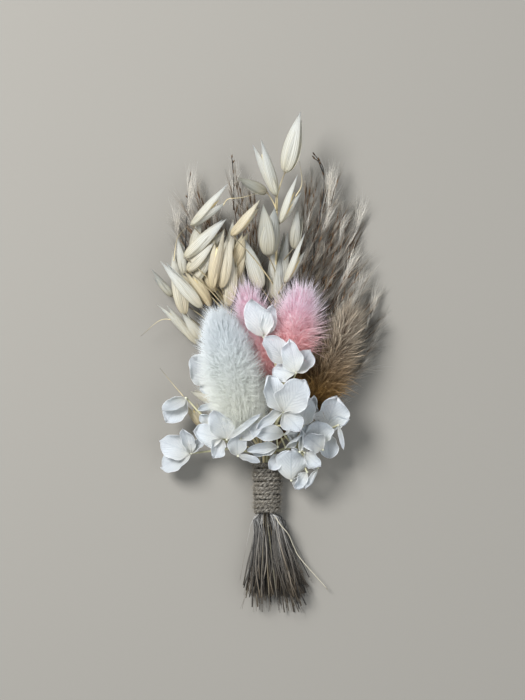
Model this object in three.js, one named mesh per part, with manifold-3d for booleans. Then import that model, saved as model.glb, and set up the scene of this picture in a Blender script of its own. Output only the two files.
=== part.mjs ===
// A dried-flower boutonniere, lying on its back: oats, bunny tails, reed grass and hydrangea florets,
// bound with a jute twine over their stalks, whose cut ends fan out below the binding.
// X runs to the right, Y from the cut ends to the flower heads, Z up from the table. Millimetres.
import * as THREE from "three";
import { mergeVertices } from "three/addons/utils/BufferGeometryUtils.js";
import Module from "manifold-3d";

const wasm = await Module();
wasm.setup();
const { Manifold, Mesh } = wasm;

// The binding and the lanes in which the stalks pass through it.
const GAP = 0.3; // clear space between neighbouring pieces
const TWINE = 1.6; // thickness of the twine, and the climb of one turn
const TWINE_RELIEF = 0.36; // height of a turn over the groove beside it
const BIND_LENGTH = 18.4;
const BIND_RADIUS_TOP = 5.0;
const BIND_RADIUS_END = 4.5;
const BIND_HEIGHT = 4.0; // of the axis above the table, less than the radius: the back is pressed flat
const BORE_RADIUS = 3.25;
const LANE_PITCH = 1.25;
const STALK_RADIUS = 0.45;
const STALK_SIDES = 4;
const STALK_TOP = 2.5; // how far a stalk stays in its lane above the binding
const FILLER_TOP = 5; // a grass stalk that carries no head ends this far above the binding

// The fan of cut ends below the binding.
const FAN_START = -BIND_LENGTH - 1;
const FAN_LENGTH = 31;
const FAN_LEAN = 3.4; // towards +X
const FAN_SPREAD = 3.3; // growth across, as a share of a lane's place
const FAN_RISE = 0.5; // growth upwards, as a share of a lane's place
const STRAND_RADIUS = 0.32;

// Blades, glumes and needles.
const SEPAL_THICKNESS = 0.74;
const GLUME_THICKNESS = 2.2;
const PEDICEL_RADIUS = 0.36;
const NEEDLE_WIDTH = 0.9;
const TWIG_RADIUS = 0.34;

const MERGE = 1e-4; // vertices nearer than this are one
const STALK_COLOUR = 0xb3a181;
const TWINE_COLOUR = 0xa38b66;
const WHITE_COLOUR = 0xeef1ee;
const PINK_COLOUR = 0xf2a3ab;
const BROWN_COLOUR = 0x8a7358;
const OAT_COLOUR = 0xe2dcc2;
const REED_COLOUR = 0x8b7f6a;
const PETAL_COLOUR = 0xe6edf0;

const vec = (x, y, z) => new THREE.Vector3(x, y, z);
const radians = THREE.MathUtils.degToRad;
const mix = THREE.MathUtils.lerp;
const GOLDEN_ANGLE = Math.PI * (3 - Math.sqrt(5));
const UP = vec(0, 0, 1);

// Numbers from 0 to 1, the same ones each time.
function seeded(seed) {
  let state = seed;
  return () => {
    state = (state * 1664525 + 1013904223) % 4294967296;
    return state / 4294967296;
  };
}

// A closed geometry as a solid, with its faces turned outwards.
function solidOf(geometry) {
  const bare = new THREE.BufferGeometry();
  bare.setAttribute("position", geometry.getAttribute("position"));
  bare.setIndex(geometry.index);
  const merged = mergeVertices(bare, MERGE);
  const vertProperties = new Float32Array(merged.attributes.position.array);
  const faces = [];
  for (let i = 0; i < merged.index.count; i += 3) {
    const [a, b, c] = [0, 1, 2].map((k) => merged.index.getX(i + k));
    if (a !== b && b !== c && a !== c) faces.push(a, b, c);
  }
  const closed = (list) => {
    const triVerts = new Uint32Array(list);
    return new Manifold(new Mesh({ numProp: 3, vertProperties, triVerts }));
  };
  const made = closed(faces);
  return made.volume() > 0 ? made : closed(faces.reverse());
}

const geometryFrom = (points, faces) => new THREE.BufferGeometry().setFromPoints(points).setIndex(faces);

const join = (parts) => Manifold.union(parts);

// A place and turn with Y along the piece and Z as near as can be to up, then rolled about Y.
function standing(from, along, roll = 0) {
  const y = along.clone().normalize();
  const x = y.clone().cross(UP).normalize();
  const z = x.clone().cross(y);
  const frame = new THREE.Matrix4().makeBasis(x, y, z).setPosition(from);
  return frame.multiply(new THREE.Matrix4().makeRotationY(radians(roll)));
}

// A curve whose steps fall on its own points.
class Route extends THREE.CatmullRomCurve3 {
  getPointAt(t) {
    return this.getPoint(t);
  }
  getTangentAt(t) {
    return this.getTangent(t);
  }
}

// A stalk of even thickness through the points.
function stalk(points, radius, sides = STALK_SIDES) {
  const corners = [];
  for (let k = 0; k < sides; k++) {
    const angle = (2 * Math.PI * (k + 0.5)) / sides;
    corners.push(new THREE.Vector2(radius * Math.cos(angle), radius * Math.sin(angle)));
  }
  const options = { steps: points.length - 1, bevelEnabled: false, extrudePath: new Route(points) };
  return solidOf(new THREE.ExtrudeGeometry(new THREE.Shape(corners), options));
}

const arc = (from, through, to) => new THREE.QuadraticBezierCurve3(from, through, to);
const bend = (from, through, to, steps) => arc(from, through, to).getPoints(steps);

// A body of few sides, pointed at both ends. The profile is pairs of half width and length, as shares.
function spindle(profile, sides, from, to, width, thickness, roll = 0) {
  const along = to.clone().sub(from);
  const geometry = new THREE.LatheGeometry(profile.map(([out, up]) => new THREE.Vector2(out, up)), sides);
  geometry.scale(width / 2, along.length(), thickness / 2);
  return solidOf(geometry.applyMatrix4(standing(from, along, roll)));
}

// A thin curved blade between two faces, which have the same grid, split into triangles alike.
function blade(top, bottom) {
  const rows = top.length;
  const across = top[0].length;
  const under = rows * across;
  const at = (i, j) => i * across + j;
  const faces = [];
  for (let i = 0; i + 1 < rows; i++) {
    for (let j = 0; j + 1 < across; j++) {
      const [a, b, c, d] = [at(i, j), at(i, j + 1), at(i + 1, j + 1), at(i + 1, j)];
      faces.push(a, b, c, a, c, d);
      faces.push(a + under, c + under, b + under, a + under, d + under, c + under);
    }
  }
  const rim = [];
  for (let j = 0; j + 1 < across; j++) rim.push(at(0, j));
  for (let i = 0; i + 1 < rows; i++) rim.push(at(i, across - 1));
  for (let j = across - 1; j > 0; j--) rim.push(at(rows - 1, j));
  for (let i = rows - 1; i > 0; i--) rim.push(at(i, 0));
  rim.forEach((a, k) => {
    const b = rim[(k + 1) % rim.length];
    faces.push(a, a + under, b + under, a, b + under, b);
  });
  return solidOf(geometryFrom([...top.flat(), ...bottom.flat()], faces));
}

// Lanes lie on a hexagonal grid round the axis. Ring 0 is the axis itself.
function lane(ring, degrees) {
  const reach = LANE_PITCH * (ring === 2 && degrees % 60 !== 0 ? Math.sqrt(3) : ring);
  return new THREE.Vector2(reach * Math.cos(radians(degrees)), reach * Math.sin(radians(degrees)));
}

const inLane = (at, y) => vec(at.x, y, BIND_HEIGHT + at.y);

// A point of the fan of cut ends. Share runs from 0 at the binding to 1 at the end, aside is a small step
// away from the middle of the lane, and reach shortens or lengthens this stalk.
function inFan(at, aside, share, reach) {
  const opened = mix(share, share * share * (3 - 2 * share), 0.35);
  const x = at.x * (1 + FAN_SPREAD * opened) + aside.x * (0.4 + 6.1 * opened) + FAN_LEAN * share;
  const z = at.y * (1 + FAN_RISE * opened) + aside.y * (0.5 + 1.4 * opened);
  return vec(x, FAN_START - FAN_LENGTH * reach * share, BIND_HEIGHT + z);
}

// One stalk from the points above, down its lane through the binding, to its single cut end.
function throughStalk(at, above, grow, { reach = 0.9, lean = 0 } = {}) {
  const fan = [0.35, 0.7, 1].map((share) => {
    const point = inFan(at, new THREE.Vector2(), share, reach);
    point.x += lean * share;
    return point;
  });
  const route = [...above, inLane(at, STALK_TOP), inLane(at, FAN_START), ...fan];
  return stalk(route, STALK_RADIUS + grow);
}

// A short stalk through the binding that opens into fine strands below it.
function bunchStalk(at, top, count, seed, grow) {
  const draw = seeded(seed);
  const parts = [stalk([inLane(at, top), inLane(at, FAN_START)], STALK_RADIUS + grow)];
  for (let k = 0; k < count; k++) {
    const angle = GOLDEN_ANGLE * k + seed;
    const out = 0.27 * Math.sqrt((k + 0.6) / count);
    const aside = new THREE.Vector2(out * Math.cos(angle), out * Math.sin(angle));
    const reach = mix(0.8, 1.04, draw());
    const root = inFan(at, aside, 0, reach);
    root.y += 1.5;
    const route = [root, ...[0.3, 0.65, 1].map((share) => inFan(at, aside, share, reach))];
    parts.push(stalk(route, STRAND_RADIUS + grow, 3));
  }
  return join(parts);
}

// The binding: turns of twine raised along a helix, pressed flat at the back, round a bore for the stalks.
function twineBinding() {
  const around = 12;
  const relief = [0, TWINE_RELIEF];
  const turns = Math.ceil(BIND_LENGTH / TWINE) + 2;
  const rows = turns * relief.length;
  const first = -BIND_LENGTH - 1.5 * TWINE;
  const at = (i, j) => i * (around + 1) + j;
  const points = [];
  const faces = [];
  for (let i = 0; i <= rows; i++) {
    for (let j = 0; j <= around; j++) {
      const y = first + TWINE * (i / relief.length + j / around);
      const taper = THREE.MathUtils.clamp(-y / BIND_LENGTH, 0, 1);
      const outer = mix(BIND_RADIUS_TOP, BIND_RADIUS_END, taper);
      const radius = outer - TWINE_RELIEF + relief[i % relief.length];
      const angle = (2 * Math.PI * j) / around;
      points.push(vec(radius * Math.cos(angle), y, BIND_HEIGHT + radius * Math.sin(angle)));
      if (i < rows && j < around) {
        faces.push(at(i, j), at(i + 1, j + 1), at(i, j + 1), at(i, j), at(i + 1, j), at(i + 1, j + 1));
      }
    }
  }
  const low = points.push(vec(0, first, BIND_HEIGHT)) - 1;
  const high = points.push(vec(0, first + TWINE * (turns + 1), BIND_HEIGHT)) - 1;
  for (let j = 0; j < around; j++) {
    faces.push(low, at(0, j), at(0, j + 1), high, at(rows, j + 1), at(rows, j));
  }
  for (let i = 0; i < relief.length; i++) {
    faces.push(low, at(i + 1, 0), at(i, 0), high, at(rows - i - 1, around), at(rows - i, around));
  }
  const slab = new THREE.BoxGeometry(20, BIND_LENGTH, 20).translate(0, -BIND_LENGTH / 2, 10);
  const bore = new THREE.CylinderGeometry(BORE_RADIUS, BORE_RADIUS, 3 * BIND_LENGTH, 20);
  bore.translate(0, 0, BIND_HEIGHT);
  return solidOf(geometryFrom(points, faces)).intersect(solidOf(slab)).subtract(solidOf(bore));
}

// The egg shape of a bunny tail, fullest a little below its middle. Phi runs from 0 at the base to PI.
function eggPoint(phi, theta, radius, length) {
  const out = radius * Math.sin(phi) * (1 + 0.14 * Math.cos(phi));
  return vec(out * Math.cos(theta), (length * (1 - Math.cos(phi))) / 2, out * Math.sin(theta));
}

// A bunny tail's head: each field of the egg rises into a tuft that leans towards the tip.
function tuftedHead({ base, tip, core, tuft, around, along, seed }) {
  const draw = seeded(seed);
  const axis = tip.clone().sub(base);
  const length = axis.length();
  const lean = radians(50);
  const points = [];
  const faces = [];
  for (let i = 0; i < along; i++) {
    for (let j = 0; j < around; j++) {
      const place = (down, over) => {
        const phi = (Math.PI * (i + down)) / along;
        const theta = (2 * Math.PI * (j + over + 0.5 * (i + down))) / around;
        return eggPoint(phi, theta, core, length);
      };
      const phi = (Math.PI * (i + 0.5)) / along;
      const middle = place(0.5, 0.5);
      const radial = vec(middle.x, 0, middle.z).normalize();
      const normal = radial.clone().multiplyScalar(Math.sin(phi)).add(vec(0, -Math.cos(phi), 0));
      const ahead = radial.multiplyScalar(Math.max(0, Math.cos(phi)));
      ahead.y = phi < Math.PI / 2 ? Math.sin(phi) : 1;
      const way = normal.multiplyScalar(Math.cos(lean)).add(ahead.multiplyScalar(Math.sin(lean)));
      const apex = middle.add(way.normalize().multiplyScalar(tuft * mix(0.75, 1.05, draw())));
      const start = points.push(place(0, 0), place(0, 1), place(1, 1), place(1, 0), apex) - 5;
      for (let k = 0; k < 4; k++) faces.push(start + k, start + ((k + 1) % 4), start + 4);
    }
  }
  return solidOf(geometryFrom(points, faces).applyMatrix4(standing(base, axis)));
}

// The space that a tail's hair takes, which nothing else may enter.
function tailRoom({ base, tip, core, tuft }, grow) {
  const axis = tip.clone().sub(base).normalize();
  const from = base.clone().addScaledVector(axis, -0.8 * tuft - grow);
  const to = tip.clone().addScaledVector(axis, tuft + grow);
  const outline = [[0, 0], [0.82, 0.09], [1, 0.28], [0.98, 0.55], [0.6, 0.86], [0, 1]];
  const width = 2.12 * (core + 0.78 * tuft + grow);
  return spindle(outline, 10, from, to, width, width);
}

// Where a line through points of rising Y reaches the height y.
function pointAt(route, y) {
  const next = Math.max(1, route.findIndex((point) => point.y >= y));
  const [from, to] = [route[next - 1], route[next]];
  return from.clone().lerp(to, THREE.MathUtils.clamp((y - from.y) / (to.y - from.y), 0, 1));
}

// One sepal: a cupped blade from the centre of its floret.
const SEPAL_OUTLINE = [[0, 0.3], [0.32, 0.9], [0.7, 0.94], [1, 0.36]];

function sepal(centre, [azimuth, length, width, rise = 0, roll = 0], grow) {
  const [turn, climb] = [radians(azimuth), radians(rise)];
  const along = vec(Math.cos(turn) * Math.cos(climb), Math.sin(turn) * Math.cos(climb), Math.sin(climb));
  const frame = standing(centre, along, roll);
  const face = (side) => SEPAL_OUTLINE.map(([far, wide]) => [-1, 0, 1].map((over) => {
    const x = over * (wide * width / 2 + grow);
    const y = 0.5 + far * (length - 0.5) + (far === 1 ? grow : 0);
    const cup = (1.1 * x * x) / width + 0.11 * length * (far * far - 0.5 * far);
    const pointed = far === 1 ? 0.08 * length * (1 - Math.abs(over)) : 0;
    return vec(x, y + pointed, cup + side * (SEPAL_THICKNESS / 2 + grow)).applyMatrix4(frame);
  }));
  return blade(face(1), face(-1));
}

// A hydrangea floret: its sepals round a small button, on a pedicel from the branching point.
const BUTTON_PROFILE = [[0, 0], [1, 0.6], [0, 1]];

function floret(hub, { centre, sepals }, grow) {
  const middle = vec(...centre);
  const foot = middle.clone().add(vec(0, 0, -1.4 - grow));
  const top = middle.clone().add(vec(0.05, 0.05, 1.1 + grow));
  const button = 2.6 + 2 * grow;
  const through = vec(mix(hub.x, middle.x, 0.62), mix(hub.y, middle.y, 0.62), mix(hub.z, foot.z, 0.25));
  return join([
    stalk(bend(hub, through, middle, 3), PEDICEL_RADIUS + grow, 3),
    spindle(BUTTON_PROFILE, 5, foot, top, button, button),
    ...sepals.map((one) => sepal(middle, one, grow)),
  ]);
}

// An oat spikelet on a hair-thin pedicel from the panicle's axis. Its two glumes are closed on each other,
// or parted where two tips are given.
const GLUME_PROFILE = [[0, 0], [0.88, 0.3], [0.82, 0.64], [0, 1]];

function spikelet(axis, { foot, tips, width = 5.6 }, grow) {
  const base = vec(...foot);
  const ends = tips.map((tip) => vec(...tip));
  const gap = Math.hypot(base.x - pointAt(axis, base.y).x, 4);
  const root = pointAt(axis, base.y - THREE.MathUtils.clamp(1.15 * gap, 5, 18));
  const through = vec(mix(root.x, base.x, 0.45), mix(root.y, base.y, 0.6), Math.max(root.z, base.z));
  const inside = base.clone().lerp(ends[0], 0.14);
  const parted = ends.length > 1;
  return join([
    stalk(bend(root, through, inside, 3), PEDICEL_RADIUS + grow, 3),
    ...ends.map((end, k) => {
      const reach = end.clone().sub(base).setLength(grow);
      const wide = (parted ? 0.82 : 1) * width + 2 * grow;
      const thick = (parted ? 1 : 1.3) * GLUME_THICKNESS + 2 * grow;
      const [from, to] = [base.clone().sub(reach), end.clone().add(reach)];
      return spindle(GLUME_PROFILE, 6, from, to, wide, thick, 18 - 36 * k);
    }),
  ]);
}

// A reed twig: a thin curve from its root to its tip, with needles round its outer part.
const NEEDLE_PROFILE = [[0, 0], [1, 0.4], [0, 1]];

const twigCurve = (root, tip) => {
  const through = vec(mix(root.x, tip.x, 0.25), mix(root.y, tip.y, 0.4), Math.min(root.z, 1.2));
  return arc(root, through, tip);
};

function reedTwig(curve, needles, draw, grow) {
  const parts = [stalk(curve.getPoints(3), TWIG_RADIUS + grow, 3)];
  for (let k = 0; k < needles; k++) {
    const share = mix(0.5, 0.99, (k + 0.5) / needles);
    const from = curve.getPoint(share);
    const tangent = curve.getTangent(share);
    const out = vec(Math.cos(GOLDEN_ANGLE * k), 0, 0.7 * Math.sin(GOLDEN_ANGLE * k));
    const way = tangent.add(out.multiplyScalar(mix(0.22, 0.42, draw()))).normalize();
    const to = from.clone().addScaledVector(way, mix(7.5, 10.5, draw()) + grow);
    const width = NEEDLE_WIDTH + 2 * grow;
    parts.push(spindle(NEEDLE_PROFILE, 3, from.addScaledVector(way, -0.8 - grow), to, width, width, 60 * k));
  }
  return join(parts);
}

// A reed bunch: the culm runs to the first tip, and the other twigs leave it one above another.
function reedBunch(root, tips, needles, seed, grow) {
  const draw = seeded(seed);
  const culm = twigCurve(root, vec(...tips[0]));
  return join(tips.map((tip, k) => {
    const fork = culm.getPoint(0.04 + (0.42 * k) / tips.length);
    return reedTwig(k === 0 ? culm : twigCurve(fork, vec(...tip)), needles, draw, grow);
  }));
}

// Bunny tails, from the base of the head to its tip. The tuft is the reach of the hair over the core.
const tails = {
  white_bunny_tail: {
    at: lane(2, 120), via: [vec(-4, 7, 10)],
    base: vec(-7.7, 13, 15), tip: vec(-16.9, 50, 21.6),
    core: 6.6, tuft: 5, around: 13, along: 11, seed: 11, colour: WHITE_COLOUR,
  },
  right_pink_bunny_tail: {
    at: lane(1, 60), via: [vec(5.5, 26, 11), vec(3, 14, 7)],
    base: vec(7.4, 36, 15), tip: vec(12.6, 61.5, 17.8),
    core: 5.2, tuft: 4, around: 11, along: 9, seed: 23, colour: PINK_COLOUR,
  },
  left_pink_bunny_tail: {
    at: lane(1, 120), via: [vec(-1.5, 24, 8.5), vec(-1, 14, 6)],
    base: vec(-1.8, 33, 11), tip: vec(-7.2, 61.8, 12.9),
    core: 4.7, tuft: 3.6, around: 11, along: 9, seed: 37, colour: PINK_COLOUR,
  },
  brown_bunny_tail: {
    at: lane(2, 0), via: [vec(8, 10.5, 5.5)],
    base: vec(14.4, 19, 10), tip: vec(29, 50.8, 11.4), end: { reach: 0.85, lean: 6.8 },
    core: 5, tuft: 3.7, around: 11, along: 9, seed: 41, colour: BROWN_COLOUR,
  },
};

// Hydrangea florets. A sepal is its azimuth, length, width, rise and roll.
const hydrangeas = {
  front_hydrangea: {
    at: lane(2, 90), via: [vec(1, 6, 8.5)], hub: vec(3, 13, 13),
    florets: [
      {
        centre: [9.9, 31.3, 25.2],
        sepals: [[101, 12, 8.6, 8, -18], [54, 9.4, 8, -20, -8], [164, 8.4, 8.4, -26]],
      },
      { centre: [6.8, 34.8, 24.6], sepals: [[129, 12.2, 9, 10, 6]] },
      {
        centre: [5.4, 17.8, 24.6],
        sepals: [[54, 14, 12.4, 16], [119, 13.4, 9.4, 0, 24], [-46, 8.8, 8.8, -8], [206, 10.6, 4.8, 2, 26]],
      },
      { centre: [-1.2, 43.6, 22.6], sepals: [[108, 14, 11.2, 8, -6], [66, 12, 7.2, 0, 44]] },
      { centre: [5.8, 10, 18.5], sepals: [[175, 11.8, 7, 2, 12], [45, 8.4, 4.6, 0, 56]] },
      { centre: [3.6, 5.6, 14], sepals: [[183, 10.6, 5.2, 0]] },
      { centre: [12.2, 12.8, 17.5], sepals: [[78, 10.4, 7.4, 2]] },
    ],
  },
  left_hydrangea: {
    at: lane(2, 180), via: [vec(-6, 3.6, 5.6)], hub: vec(-12, 5, 8.5),
    florets: [
      {
        centre: [-13.9, 8.4, 17],
        sepals: [
          [115, 13, 9.6, 22, -10], [37, 16.4, 2.8, 31, 20], [170, 10.2, 8.2, 0, 8], [-24, 9.8, 8.6, 4, 6],
          [238, 8, 7.4, -8],
        ],
      },
      {
        centre: [-26.4, 3.2, 9.8],
        sepals: [
          [156, 11.4, 9.2, 8, -10], [199, 12, 9, -6, 10], [106, 9.6, 7, 10, 8], [50, 6.4, 5.4, 0, -18],
        ],
      },
      { centre: [-28.2, 22.5, 10.4], sepals: [[226, 10.6, 8, 0, -4]] },
      { centre: [-18.6, 27.3, 8], sepals: [[124, 12.4, 11, 6]] },
      { centre: [-19.8, 18.4, 12.2], sepals: [[168, 5, 4.6, 2, 24]] },
      { centre: [-9.9, 3.1, 12], sepals: [[-17, 7.4, 4.2, 2]] },
      { centre: [-9.2, 8.3, 17.2], sepals: [[32, 9.8, 4.8, 26, -8]] },
    ],
  },
  right_hydrangea: {
    at: lane(2, 30), via: [vec(4.5, 4.2, 6.6)], hub: vec(9, 6, 8.5),
    florets: [
      {
        centre: [20.6, 11.4, 12.6],
        sepals: [[75, 12.8, 12.2, 10], [22, 9.4, 6.2, 14, -26], [-64, 10, 8.4, -16, 6]],
      },
      { centre: [25.4, 13, 14], sepals: [[281, 8.2, 3.4, -12, 24]] },
      { centre: [18, 6.4, 13.4], sepals: [[94, 8.8, 11, 12]] },
      { centre: [19.4, 4.6, 15.2], sepals: [[139, 9.2, 8.2, 12]] },
      { centre: [8.4, -6.2, 10.8], sepals: [[93, 12.4, 11.2, 22]] },
      { centre: [12.9, 3.7, 14.4], sepals: [[93, 10, 6.8, 6, 62], [-44, 7.4, 6.2, -2]] },
      { centre: [17.6, -1.8, 11.6], sepals: [[252, 8.2, 3, -6, 26]] },
      { centre: [5.2, 3, 11.8], sepals: [[230, 6.4, 4.8, -4]] },
    ],
  },
};

// Oat panicles. The axis runs up from the binding; spikelets are given by foot and tips.
const oats = {
  upper_oats: {
    at: lane(1, 300), axis: [vec(2, 30, 3.2), vec(3, 60, 8), vec(3.3, 92, 14)],
    spikelets: [
      { foot: [6.2, 100.4, 19], tips: [[11.5, 121.4, 21]], width: 6.4 },
      { foot: [3.2, 92.4, 18], tips: [[-4.5, 110.3, 19], [-2.2, 112, 21]], width: 6 },
      { foot: [4.2, 83, 16.5], tips: [[10.4, 99.9, 18], [11.6, 93.8, 16]], width: 4.6 },
      { foot: [0.3, 71.5, 17.5], tips: [[0.3, 89.9, 19]], width: 7.6 },
      { foot: [9.2, 74.2, 12.5], tips: [[10.6, 88.4, 13]], width: 4 },
      { foot: [6, 62.3, 16], tips: [[13.3, 79.4, 18], [12.9, 73.4, 16]], width: 4.4 },
      { foot: [4.2, 55.4, 11], tips: [[4.5, 72, 12]], width: 4.8 },
      { foot: [0.1, 93.8, 14.5], tips: [[-10.2, 99, 14.5]], width: 4 },
      { foot: [-12.5, 78.6, 20.5], tips: [[-2, 90.9, 20.5]], width: 5 },
      { foot: [-1.9, 60.3, 12.5], tips: [[-7.4, 77.6, 13]], width: 5.6 },
    ],
  },
  left_oats: {
    at: lane(1, 180), axis: [vec(-8, 30, 4), vec(-13, 50, 7), vec(-17, 70, 11), vec(-18, 82, 13)],
    spikelets: [
      { foot: [-26.6, 82.3, 15], tips: [[-13.4, 96.8, 16], [-14, 90.6, 15]], width: 5 },
      { foot: [-28.7, 70.9, 17], tips: [[-14, 84.6, 18]], width: 5 },
      { foot: [-27.8, 66.6, 16], tips: [[-18.2, 76.4, 17]], width: 4.8 },
      { foot: [-19, 60, 17], tips: [[-15.4, 80.8, 18]], width: 5.4 },
      { foot: [-16, 60.4, 15], tips: [[-12.2, 79, 16]], width: 5 },
      { foot: [-13.6, 54, 13], tips: [[-12, 73, 14]], width: 5 },
      { foot: [-12.2, 65, 12], tips: [[-6.7, 80, 12.5]], width: 4.6 },
      { foot: [-28.9, 65.4, 13], tips: [[-31, 78, 13.5]], width: 3.6 },
      { foot: [-28.6, 51.2, 10], tips: [[-33, 73.6, 10]], width: 5.8 },
      { foot: [-22.4, 53.6, 16], tips: [[-37, 70, 17]], width: 4.8 },
      { foot: [-19.6, 54, 14], tips: [[-28.8, 66.8, 15]], width: 4.8 },
      { foot: [-33, 57.8, 7.5], tips: [[-40.6, 66.9, 8]], width: 4.2 },
      { foot: [-26, 73, 11], tips: [[-22.8, 84.2, 12]], width: 3.6 },
    ],
  },
  lower_oats: {
    at: lane(2, 210), axis: [vec(-9, 20, 2.6), vec(-17, 34, 5), vec(-20.5, 37.5, 7)],
    spikelets: [
      { foot: [-23.8, 41, 9], tips: [[-38, 55.4, 9], [-35.2, 54.6, 10]], width: 4.6 },
      { foot: [-23, 42.8, 11.5], tips: [[-29.6, 52, 12]], width: 4 },
      { foot: [-18.6, 21, 7], tips: [[-26.6, 24.7, 7.5]], width: 3.4 },
      { foot: [-23.6, 12.8, 6], tips: [[-28.6, 20.8, 6.5]], width: 3.8 },
      { foot: [-14.7, 20.3, 5.2], tips: [[-21, 26.4, 6]], width: 4 },
    ],
  },
};

// Reed bunches: the tips of their twigs, at the back, the outermost ones low enough to touch the table.
const reeds = {
  upper_reeds: {
    at: lane(2, 300), seed: 3, strands: 3,
    tips: [
      [23.2, 101, 7], [33.4, 73.5, 2], [32.6, 82.5, 0.5], [24.9, 76.5, 3], [13.3, 79.5, 8], [29.8, 86, 1.6],
      [18.5, 85, 5], [26.6, 90.5, 4], [15.8, 100, 9],
    ],
  },
  right_reeds: {
    at: lane(2, 330), seed: 5, strands: 3,
    tips: [
      [38, 58, 2], [27.6, 26, 4], [32.6, 31.5, 2.4], [35.6, 36.5, 1.4], [38.4, 43, 2.6], [39, 50, 0.9],
      [30.4, 55, 2.2], [34.8, 63.5, 4],
    ],
  },
  left_reeds: {
    at: lane(2, 240), seed: 7, strands: 3,
    tips: [[-25, 97, 6], [-30, 73.5, 2], [-31, 83.5, 0.5], [-25.6, 88, 8], [-29, 90, 3]],
  },
  back_reeds: {
    at: lane(2, 270), seed: 9, strands: 3,
    tips: [[-11.2, 102.5, 7], [-18.6, 89, 4], [-5.9, 96, 9]],
  },
};

const NEEDLES = 4;
const GRASS_STRANDS = 3;
const grassLanes = [lane(2, 60), lane(2, 150), lane(1, 240), lane(1, 0), lane(0, 0)];

// Each plant gives its stalk, its bloom and the room that the bloom needs, all thicker by grow.
function tailPlant([name, tail]) {
  const sunk = tail.base.clone().lerp(tail.tip, 0.12);
  return {
    name,
    colour: tail.colour,
    stem: (grow) => throughStalk(tail.at, [sunk, tail.base, ...tail.via], grow, tail.end),
    bloom: () => tuftedHead(tail),
    room: (grow) => tailRoom(tail, grow),
  };
}

function hydrangeaPlant([name, { at, via, hub, florets }]) {
  const bloom = (grow) => join(florets.map((one) => floret(hub, one, grow)));
  const stem = (grow) => throughStalk(at, [hub, ...via], grow);
  return { name, colour: PETAL_COLOUR, stem, bloom, room: bloom };
}

function oatPlant([name, { at, axis, spikelets }]) {
  const rising = [inLane(at, STALK_TOP), ...axis];
  const bloom = (grow) => join(spikelets.map((one) => spikelet(rising, one, grow)));
  const stem = (grow) => throughStalk(at, [...axis].reverse(), grow);
  return { name, colour: OAT_COLOUR, stem, bloom, room: bloom };
}

function reedPlant([name, { at, seed, strands, tips }]) {
  const bloom = (grow) => reedBunch(inLane(at, STALK_TOP), tips, NEEDLES, seed, grow);
  const stem = (grow) => bunchStalk(at, STALK_TOP + 0.6, strands, seed, grow);
  return { name, colour: REED_COLOUR, stem, bloom, room: bloom };
}

function grassPlant(at, k) {
  const stem = (grow) => bunchStalk(at, FILLER_TOP, GRASS_STRANDS, 51 + 2 * k, grow);
  return { name: `grass_stalks_${k + 1}`, colour: STALK_COLOUR, stem };
}

// The largest body of a solid. Scraps that a neighbour cut off are left out.
function largest(solid) {
  const bodies = solid.decompose();
  return bodies.reduce((kept, body) => (body.volume() > kept.volume() ? body : kept));
}

function meshOf(name, solid, colour) {
  const { vertProperties, triVerts } = solid.getMesh();
  const geometry = new THREE.BufferGeometry();
  geometry.setAttribute("position", new THREE.BufferAttribute(new Float32Array(vertProperties), 3));
  geometry.setIndex([...triVerts]);
  const material = new THREE.MeshStandardMaterial({ color: colour, roughness: 0.85, metalness: 0 });
  const mesh = new THREE.Mesh(geometry, material);
  mesh.name = name;
  return mesh;
}

// Earlier plants keep their shape. A later bloom is cut clear of them, and every bloom of the stalks.
function arrange(plants) {
  const stems = plants.map((plant) => plant.stem(GAP));
  const air = new THREE.BoxGeometry(300, 300, 100).translate(0, 0, 50);
  const aboveTable = solidOf(air);
  const taken = [];
  return plants.map((plant, index) => {
    const parts = [plant.stem(0)];
    if (plant.bloom) {
      const others = stems.filter((_, k) => k !== index);
      parts.push(plant.bloom(0).subtract(join([...others, ...taken])));
      taken.push(plant.room(GAP));
    }
    return meshOf(plant.name, largest(join(parts).intersect(aboveTable)), plant.colour);
  });
}

const plants = [
  ...Object.entries(tails).map(tailPlant),
  ...Object.entries(hydrangeas).map(hydrangeaPlant),
  ...Object.entries(oats).map(oatPlant),
  ...Object.entries(reeds).map(reedPlant),
  ...grassLanes.map(grassPlant),
];

const boutonniere = new THREE.Group();
boutonniere.name = "boutonniere";
boutonniere.add(meshOf("twine_wrap", twineBinding(), TWINE_COLOUR), ...arrange(plants));

// The origin is on the table under the middle of the whole.
const box = new THREE.Box3().setFromObject(boutonniere);
boutonniere.position.set(-(box.min.x + box.max.x) / 2, -(box.min.y + box.max.y) / 2, -box.min.z);

export default boutonniere;
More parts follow.
